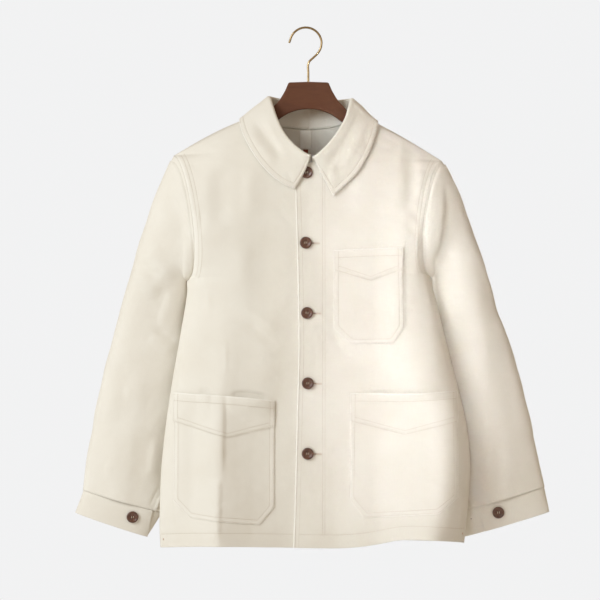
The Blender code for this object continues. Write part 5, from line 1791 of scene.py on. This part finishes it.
# ---------------------------------------------------------------- finishes
class Graph:
    """Adds nodes to a tree, with their values and links in one call each."""

    def __init__(self, tree):
        self.tree = tree

    def feed(self, sockets, values):
        """Gives sockets their values, and links those whose value is another socket."""
        for key, value in values.items():
            if isinstance(value, bpy.types.NodeSocket):
                self.tree.links.new(value, sockets[key])
            else:
                sockets[key].default_value = value

    def add(self, kind, values=None, **settings):
        node = self.tree.nodes.new(kind)
        for key, value in settings.items():
            setattr(node, key, value)
        self.feed(node.inputs, values or {})
        return node

    def place(self):
        return self.add("ShaderNodeTexCoord").outputs["Object"]

    def stretched(self, place, scale, **more):
        values = {"Vector": place, "Scale": scale, **more}
        return self.add("ShaderNodeMapping", values).outputs[0]

    def noise(self, place, scale, detail, **more):
        values = {"Vector": place, "Scale": scale, "Detail": detail, **more}
        return self.add("ShaderNodeTexNoise", values).outputs["Fac"]

    def math(self, operation, a, b=0.0):
        return self.add("ShaderNodeMath", {0: a, 1: b}, operation=operation).outputs[0]

    def times(self, a, b):
        return self.math("MULTIPLY", a, b)

    def plus(self, a, b):
        return self.math("ADD", a, b)

    def blend(self, share, a, b, mode="MIX"):
        values = {0: share, 6: a, 7: b}
        return self.add("ShaderNodeMix", values, data_type="RGBA", blend_type=mode).outputs[2]

    def spread(self, value, low, high, to_low=0.0, to_high=1.0):
        names = ("Value", "From Min", "From Max", "To Min", "To Max")
        values = dict(zip(names, (value, low, high, to_low, to_high)))
        return self.add("ShaderNodeMapRange", values).outputs[0]

    def bump(self, height, distance, strength=0.6):
        values = {"Height": height, "Distance": distance, "Strength": strength}
        return self.add("ShaderNodeBump", values).outputs[0]


COLOUR, NUMBER = "NodeSocketColor", "NodeSocketFloat"
NAP_INPUTS = (
    ("Colour", COLOUR, (0.8, 0.74, 0.62, 1)),
    ("Cloud", COLOUR, (0.72, 0.68, 0.55, 1)),
    ("Cloud Share", NUMBER, 0.35),
    ("Nap", NUMBER, 0.05),
    ("Roughness", NUMBER, 0.88),
    ("Weave Pitch", NUMBER, 0.9),
    # the next two lighten cloth at edges and welts: partly wear, partly a painted highlight
    ("Worn", NUMBER, 0.0),
    ("Worn Colour", COLOUR, (0.93, 0.905, 0.84, 1)),
)
NAP_OUTPUTS = (("Colour", COLOUR), ("Roughness", NUMBER), ("Height", NUMBER))


def nap_group():
    """Brushed cotton: cloudy colour, edges lightened partly by wear and partly by a painted
    highlight, fine nap and the weave under it.
    """
    if "brushed_cotton" in bpy.data.node_groups:
        return bpy.data.node_groups["brushed_cotton"]
    tree = bpy.data.node_groups.new("brushed_cotton", "ShaderNodeTree")
    for label, kind, value in NAP_INPUTS:
        socket = tree.interface.new_socket(name=label, in_out="INPUT", socket_type=kind)
        socket.default_value = value
    for label, kind in NAP_OUTPUTS:
        tree.interface.new_socket(name=label, in_out="OUTPUT", socket_type=kind)
    graph = Graph(tree)
    given = graph.add("NodeGroupInput").outputs
    place = graph.place()
    cloud = graph.noise(place, 15.0, 4.0, Roughness=0.55)
    streak = graph.noise(graph.stretched(place, (900, 900, 160)), 1.0, 3.0)
    fine = graph.noise(place, 620.0, 4.0, Roughness=0.7)
    share = graph.times(graph.spread(cloud, 0.36, 0.68), given["Cloud Share"])
    colour = graph.blend(share, given["Colour"], given["Cloud"])
    # edges and welts blend towards a lighter colour: partly wear, partly a painted highlight
    colour = graph.blend(graph.times(given["Worn"], 0.75), colour, given["Worn Colour"])
    grain = graph.plus(graph.times(fine, 0.6), graph.times(streak, 0.4))
    speck = graph.plus(graph.times(graph.math("SUBTRACT", grain, 0.5), given["Nap"]), 1.0)
    tint = graph.add("ShaderNodeCombineColor", {0: speck, 1: speck, 2: speck}).outputs[0]
    pitch = graph.math("DIVIDE", 2.0 * math.pi, graph.times(given["Weave Pitch"], MM))
    parts = graph.add("ShaderNodeSeparateXYZ", {0: place}).outputs
    slant = graph.plus(parts[0], graph.times(parts[2], 0.45))
    slant = graph.plus(slant, graph.times(fine, 0.0006))
    twill = graph.math("SINE", graph.times(slant, pitch))
    rough = graph.times(graph.math("SUBTRACT", fine, 0.5), 0.16)
    made = {
        "Colour": graph.blend(1.0, colour, tint, "MULTIPLY"),
        "Roughness": graph.plus(given["Roughness"], rough),
        "Height": graph.plus(grain, graph.times(twill, 0.16)),
    }
    graph.feed(graph.add("NodeGroupOutput").inputs, made)
    return tree


def finish(name, paint):
    """The material of a name. It is made once, from what paint gives its shader."""
    material = bpy.data.materials.get(name)
    if material is None:
        material = bpy.data.materials.new(name)
        material.use_nodes = True
        graph = Graph(material.node_tree)
        graph.feed(material.node_tree.nodes["Principled BSDF"].inputs, paint(graph))
    return material


def cloth_finish(name, colour, cloud, share=0.6, nap=0.08, rough=0.88, sheen=0.25, depth=0.00022):
    """Any cloth, label or thread: how cloudy it is, how napped, and how deep its weave."""

    def paint(graph):
        # the mesh's edge mark feeds the lighter edges: partly wear, partly a painted highlight
        given = {"Colour": (*colour, 1), "Cloud": (*cloud, 1), "Cloud Share": share, "Nap": nap,
                 "Roughness": rough,
                 "Worn": graph.add("ShaderNodeAttribute", attribute_name="worn").outputs["Fac"]}
        made = graph.add("ShaderNodeGroup", given, node_tree=nap_group()).outputs
        return {
            "Base Color": made["Colour"],
            "Roughness": made["Roughness"],
            "Sheen Weight": sheen,
            "Sheen Roughness": 0.45,
            "Sheen Tint": (1.0, 0.97, 0.9, 1.0),
            "Specular IOR Level": 0.25,
            "Normal": graph.bump(made["Height"], depth),
        }

    return finish(name, paint)


def moleskin():
    cloth = bpy.context.scene.chore_jacket_cloth
    return cloth_finish("cream_moleskin", cloth.colour, cloth.cloud)


def heavier(colour, factor):
    return tuple(min(1.0, value * factor) for value in colour)


def thread_finish(name="cream_thread", setting="colour", cloud=0.9):
    # the thread's colour carries painted shade of its grooves as well as its tint
    colour = getattr(bpy.context.scene.chore_jacket_sewing, setting)
    return cloth_finish(name, colour, heavier(colour, cloud), nap=0.1, rough=0.6, sheen=0.1,
                        depth=0.0001)


def hole_thread_finish():
    return thread_finish("buttonhole_thread", "hole_colour", 0.85)


def hole_finish():
    """Painted shade for the inside of a slit, where the cloth under it lies in shade."""
    dark, darker = (0.16, 0.09, 0.06), (0.10, 0.06, 0.04)
    return cloth_finish("inside_of_slit", dark, darker, nap=0.1, sheen=0.0)


LABEL_FINISHES = {  # name, colour, cloud, cloud's share, nap, roughness and sheen
    "neck_label": ("woven_label", (0.97, 0.95, 0.89), (0.93, 0.90, 0.82), 0.4, 0.14, 0.7, 0.1),
    "size_tab": ("red_brown_tab", (0.33, 0.09, 0.06), (0.24, 0.06, 0.04), 0.5, 0.2, 0.75, 0.2),
    "care_label": ("white_label", (0.80, 0.79, 0.77), (0.70, 0.68, 0.66), 0.3, 0.1, 0.55, 0.05),
}


def button_paint(graph):
    brown = bpy.context.scene.chore_jacket_trim.button
    place = graph.place()
    swirl = graph.noise(place, 160.0, 5.0, Distortion=1.4)
    fine = graph.noise(place, 1500.0, 2.0)
    shades = (*brown, 1), (*heavier(brown, 2.6), 1)
    return {
        "Base Color": graph.blend(graph.spread(swirl, 0.3, 0.72), *shades),
        "Roughness": graph.spread(fine, 0.3, 0.7, 0.26, 0.44),
        "Coat Weight": 0.15,
        "Coat Roughness": 0.2,
        "Normal": graph.bump(fine, 0.00004, 0.4),
    }


def wood_paint(graph):
    wood = bpy.context.scene.chore_jacket_trim.wood
    place = graph.place()
    grain = graph.stretched(place, (22, 90, 150), Rotation=(0, 0.1, 0))
    rings = graph.noise(grain, 1.0, 6.0, Roughness=0.6, Distortion=0.8)
    pores = graph.noise(graph.stretched(place, (70, 1400, 1100)), 1.0, 3.0)
    dark = heavier(wood, 0.84)
    shades = (*dark, 1), (*heavier(wood, 1.14), 1)
    colour = graph.blend(graph.spread(rings, 0.3, 0.7), *shades)
    pored = graph.spread(pores, 0.56, 0.72, 0.0, 0.3)
    return {
        "Base Color": graph.blend(pored, colour, (*heavier(dark, 0.6), 1)),
        "Roughness": graph.spread(pores, 0.3, 0.7, 0.46, 0.62),
        "Specular IOR Level": 0.3,
        "Coat Weight": 0.06,
        "Coat Roughness": 0.35,
        "Normal": graph.bump(pores, 0.00012, 0.4),
    }


def brass_paint(graph):
    brass = bpy.context.scene.chore_jacket_trim.brass
    place = graph.place()
    dull, fine = graph.noise(place, 70.0, 5.0), graph.noise(place, 900.0, 2.0)
    shades = (*brass, 1), (*heavier(brass, 0.6), 1)
    return {
        "Base Color": graph.blend(graph.spread(dull, 0.35, 0.7), *shades),
        "Roughness": graph.spread(dull, 0.3, 0.7, 0.24, 0.42),
        "Metallic": 1.0,
        "Normal": graph.bump(fine, 0.00005, 0.3),
    }


def floor_paint(graph):
    soft = graph.noise(graph.place(), 3.0, 3.0)
    shades = (0.78, 0.78, 0.77, 1), (0.84, 0.84, 0.83, 1)
    return {"Base Color": graph.blend(soft, *shades), "Roughness": 0.7}


# ---------------------------------------------------------------- stage
FLOOR_DROP, FLOOR_REACH, FLOOR_SIDES = 1.5, 2.6, 64
CAMERA_AWAY, CAMERA_LENS = 4.0, 146.2
CAMERA_X, CAMERA_Z = -0.0094, -0.4455


LIGHTS = (  # name, place, size, colour, the x it aims at and its spread in degrees
    ("window", (-2.45, -2.35, 0.75), (1.7, 1.7), (0.86, 0.935, 1.0), 0.0, None),
    ("bounce", (2.2, -2.7, 0.3), (1.6, 1.6), (0.97, 0.97, 0.97), 0.0, None),
    ("behind", (-0.8, 3.2, 0.9), (1.8, 1.8), (0.97, 0.985, 1.0), 0.0, None),
    ("narrow", (-0.7, -3.4, 0.8), (0.14, 0.62), (0.86, 0.935, 1.0), 0.18, 7.0),  # on the left front
)
LIGHTS_AIM_Z = -0.47


def build_floor():
    """A round floor with a low edge."""
    turns = np.linspace(0, 2 * math.pi, FLOOR_SIDES + 1)[:-1]
    rings = [(0.02, 0.0), (1.0, 0.0), (FLOOR_REACH - 0.02, 0.0), (FLOOR_REACH, -0.02)]
    points = [(r * math.cos(a), r * math.sin(a), h - FLOOR_DROP) for r, h in rings for a in turns]
    index = np.arange(len(points)).reshape(-1, FLOOR_SIDES)
    ahead = np.roll(index, -1, axis=1)
    quads = np.stack([index[:-1], index[1:], ahead[1:], ahead[:-1]], axis=-1)
    mesh = bpy.data.meshes.new("studio_floor")
    mesh.from_pydata(points, [], [index[0].tolist(), *quads.reshape(-1, 4).tolist()])
    mesh.materials.append(finish("pale_floor", floor_paint))
    floor = bpy.data.objects.new("studio_floor", mesh)
    bpy.context.scene.collection.objects.link(floor)


def build_stage():
    """The floor, the pale room, the lights and the camera."""
    stage, scene = bpy.context.scene.chore_jacket_stage, bpy.context.scene
    build_floor()

    world = bpy.data.worlds.new("pale_room")
    scene.world = world
    world.use_nodes = True
    world.node_tree.nodes.clear()
    graph = Graph(world.node_tree)
    seen = graph.add("ShaderNodeLightPath").outputs["Is Camera Ray"]
    lit, shown = (
        graph.add("ShaderNodeBackground", {"Color": colour, "Strength": strength}).outputs[0]
        for colour, strength in (
            ((1.0, 0.79, 0.58, 1), stage.fill),
            ((0.886, 0.888, 0.892, 1), 1),
        )
    )
    mixed = graph.add("ShaderNodeMixShader", {0: seen, 1: lit, 2: shown})
    graph.add("ShaderNodeOutputWorld", {0: mixed.outputs[0]})

    for name, at, size, colour, aim_x, spread in LIGHTS:
        light = bpy.data.lights.new(name, "AREA")
        light.shape, light.energy, light.color = "RECTANGLE", getattr(stage, name), colour
        light.size, light.size_y = size
        if spread:
            light.spread = math.radians(spread)
        lamp = bpy.data.objects.new(name, light)
        lamp.location = at
        aim = Vector((aim_x, 0.0, LIGHTS_AIM_Z)) - Vector(at)
        lamp.rotation_euler = aim.to_track_quat("-Z", "Y").to_euler()
        scene.collection.objects.link(lamp)

    camera_data = bpy.data.cameras.new("camera")
    camera_data.lens, camera_data.sensor_width = CAMERA_LENS, 36.0
    camera = bpy.data.objects.new("camera", camera_data)
    camera.location = (CAMERA_X, -CAMERA_AWAY, CAMERA_Z)
    camera.rotation_euler = (math.pi / 2, 0, 0)
    scene.collection.objects.link(camera)
    scene.camera = camera
    scene.view_settings.view_transform = "Standard"


# ---------------------------------------------------------------- properties
def colour_property(name, description, default):
    return FloatVectorProperty(
        name=name, description=description, default=default, size=3, min=0, max=1, subtype="COLOR"
    )


class ChoreJacketCloth(bpy.types.PropertyGroup):
    colour: colour_property("Cloth", "Colour of the brushed cotton", (0.80, 0.765, 0.68))
    cloud: colour_property("Cloud", "Colour of its cloudy patches", (0.765, 0.72, 0.625))


def length_property(name, description, default):
    return FloatProperty(name=name, description=description, default=default, unit="LENGTH")


def power_property(name, description, default):
    return FloatProperty(name=name, description=description, default=default, unit="POWER")


class ChoreJacketSewing(bpy.types.PropertyGroup):
    # darker than the cloth: partly the thread's own tint, partly painted shade of the grooves and
    # needle holes along each row
    colour: colour_property("Thread", "Colour of the rows of stitches", (0.57, 0.48, 0.37))
    hole_colour: colour_property(
        "Buttonholes", "Colour of the buttonholes' thread", (0.70, 0.54, 0.42)
    )
    pitch: length_property("Pitch", "From one stitch to the next", 0.0033)
    stitch: length_property("Stitch", "Length of a stitch that shows", 0.0027)
    thread: length_property("Thickness", "Thickness of the thread", 0.00055)


class ChoreJacketTrim(bpy.types.PropertyGroup):
    button: colour_property("Buttons", "Colour of the buttons", (0.062, 0.026, 0.015))
    wood: colour_property("Wood", "Colour of the hanger's wood", (0.125, 0.044, 0.019))
    brass: colour_property("Brass", "Colour of the hanger's hook", (0.50, 0.36, 0.19))


class ChoreJacketStage(bpy.types.PropertyGroup):
    fill: FloatProperty(name="Fill", description="Strength of the room's light", default=0.38)
    window: power_property("Window", "Power of the light from the left", 100.0)
    bounce: power_property("Bounce", "Power of the light from the right", 11.0)
    behind: power_property("Behind", "Power of the light from behind", 34.0)
    narrow: power_property("Narrow", "Power of the narrow light", 0.26)


# ---------------------------------------------------------------- operators
class JACKET_OT_body(bpy.types.Operator):
    """Build the two fronts and the back, with their rows of stitches"""

    bl_idname = "chore_jacket.body"
    bl_label = "Fronts and Back"

    def execute(self, context):
        for name in ("front_right", "front_left", "back"):
            piece = body_piece(name, moleskin())
            width, length, area = CUTS[name]
            skin = panel_skin(name)
            facing = 1 if name == "back" else -1
            rows = [skin_row(skin, line, facing, lift=-0.3) for line in body_rows(name)]
            sewing = threads(name + "_rows", rows, thread_finish(), len(name))
        return {"FINISHED"}


class JACKET_OT_sleeves(bpy.types.Operator):
    """Build the sleeves and their buttoned cuffs"""

    bl_idname = "chore_jacket.sleeves"
    bl_label = "Sleeves and Cuffs"

    def execute(self, context):
        for side in SIGN:
            piece = sleeve_piece(side, moleskin())
            width, length, area = CUTS["sleeve_" + side]
            cuff, rows = cuff_piece(side, moleskin())
            sewing = threads(f"cuff_{side}_rows", rows, thread_finish(), 61)
            width, length, area = CUTS["cuff_" + side]
        return {"FINISHED"}


class JACKET_OT_collar(bpy.types.Operator):
    """Build the collar with its stand, fold and two leaves"""

    bl_idname = "chore_jacket.collar"
    bl_label = "Collar"

    def execute(self, context):
        piece, rows = collar_piece(moleskin())
        sewing = threads("collar_rows", rows, thread_finish(), 71)
        width, length, area = CUTS["collar"]
        return {"FINISHED"}


class JACKET_OT_pockets(bpy.types.Operator):
    """Build the three patch pockets, each of a lower and an upper panel"""

    bl_idname = "chore_jacket.pockets"
    bl_label = "Pockets"

    def execute(self, context):
        for name, pocket in POCKETS.items():
            for part in ("lower", "upper"):
                piece, rows = pocket_panel(name, pocket, part, moleskin())
                sewing = threads(f"{name}_{part}_rows", rows, thread_finish(), 81 + len(name))
        return {"FINISHED"}


class JACKET_OT_labels(bpy.types.Operator):
    """Build the bare labels and the tab inside the back neck"""

    bl_idname = "chore_jacket.labels"
    bl_label = "Labels"

    def execute(self, context):
        for name, look in LABEL_FINISHES.items():
            piece = label_piece(name, cloth_finish(*look))
        return {"FINISHED"}


class JACKET_OT_buttons(bpy.types.Operator):
    """Build the buttons of the front and cuffs, and their buttonholes"""

    bl_idname = "chore_jacket.buttons"
    bl_label = "Buttons"

    def execute(self, context):
        material, thread = finish("dark_brown_button", button_paint), thread_finish()
        skin = panel_skin("front_left")
        holes, slits = [], []
        for i, (name, point, outward) in enumerate(front_button_places()):
            button_piece(name, point, outward, material, thread, 0.12 * math.sin(2.0 * i + 1))
            if i:
                holes += buttonhole(skin, point[0] + 8.0, point[0] + 22.0, point[2] - 0.5)
                slits.append((skin, point[0] + 11.6, point[2] - 0.6, 2.6))
        # the cuff's buttonhole also gets a lens of painted shade
        slits.append((cuff_skin("left"), *CUFF_SLIT, 1.3))
        slit_piece("buttonhole_slits", slits, hole_finish())
        bars("front_buttonholes", holes, hole_thread_finish(), 0.26)
        bars("side_tacks", tack_rows(), hole_thread_finish(), 0.4)
        for name, point, outward in cuff_button_places():
            button_piece(name, point, outward, material, thread, 0.1)
        return {"FINISHED"}


class JACKET_OT_hanger(bpy.types.Operator):
    """Build the hanger's board and hook"""

    bl_idname = "chore_jacket.hanger"
    bl_label = "Hanger"

    def execute(self, context):
        wood = finish("varnished_wood", wood_paint)
        brass = finish("old_brass", brass_paint)
        outline = [((x + CENTRE_X) * MM, z * MM, 0.0) for x, z in board_outline()]
        board = curve_piece(
            "hanger_board_wood", outline, wood, dimensions="2D", fill_mode="BOTH",
            extrude=(BOARD_HALF - BOARD_ROUND) * MM, bevel_depth=BOARD_ROUND * MM,
            bevel_resolution=3, offset=-BOARD_ROUND * MM,
        )
        board.rotation_euler = (math.pi / 2, 0, 0)
        place(board, "wood", ["hanger_board"])
        wire = [(x * MM, 0.0, z * MM) for x, z in hook_line()]
        hook = curve_piece(
            "hanger_hook_wire", wire, brass, dimensions="3D",
            bevel_depth=HOOK_WIRE * MM, bevel_resolution=5, use_fill_caps=True,
        )
        place(hook, "brass", ["hanger_hook"])
        return {"FINISHED"}


class JACKET_OT_stage(bpy.types.Operator):
    """Build the floor, the lights and the camera"""

    bl_idname = "chore_jacket.stage"
    bl_label = "Stage"

    def execute(self, context):
        build_stage()
        return {"FINISHED"}


class JACKET_PT_panel(bpy.types.Panel):
    """The chore jacket's pieces and their settings"""

    bl_idname = "JACKET_PT_panel"
    bl_label = "Chore Jacket"
    bl_space_type = "VIEW_3D"
    bl_region_type = "UI"
    bl_category = "Jacket"

    def draw(self, context):
        for step in STEPS:
            self.layout.operator(step.bl_idname)
        for key in SETTINGS:
            box = self.layout.box()
            group = getattr(context.scene, key)
            for name in group.bl_rna.properties.keys():
                if name not in ("rna_type", "name"):
                    box.prop(group, name)


SETTINGS = {
    "chore_jacket_cloth": ChoreJacketCloth,
    "chore_jacket_sewing": ChoreJacketSewing,
    "chore_jacket_trim": ChoreJacketTrim,
    "chore_jacket_stage": ChoreJacketStage,
}
STEPS = (
    JACKET_OT_stage,
    JACKET_OT_body,
    JACKET_OT_sleeves,
    JACKET_OT_collar,
    JACKET_OT_pockets,
    JACKET_OT_labels,
    JACKET_OT_buttons,
    JACKET_OT_hanger,
)
CLASSES = (*SETTINGS.values(), *STEPS, JACKET_PT_panel)


def register():
    for one in CLASSES:
        bpy.utils.register_class(one)
    for key, group in SETTINGS.items():
        setattr(bpy.types.Scene, key, PointerProperty(type=group))


def unregister():
    for key in SETTINGS:
        delattr(bpy.types.Scene, key)
    for one in reversed(CLASSES):
        bpy.utils.unregister_class(one)


def main():
    register()
    for step in STEPS:
        group, name = step.bl_idname.split(".")
        getattr(getattr(bpy.ops, group), name)()


if __name__ == "__main__":
    main()
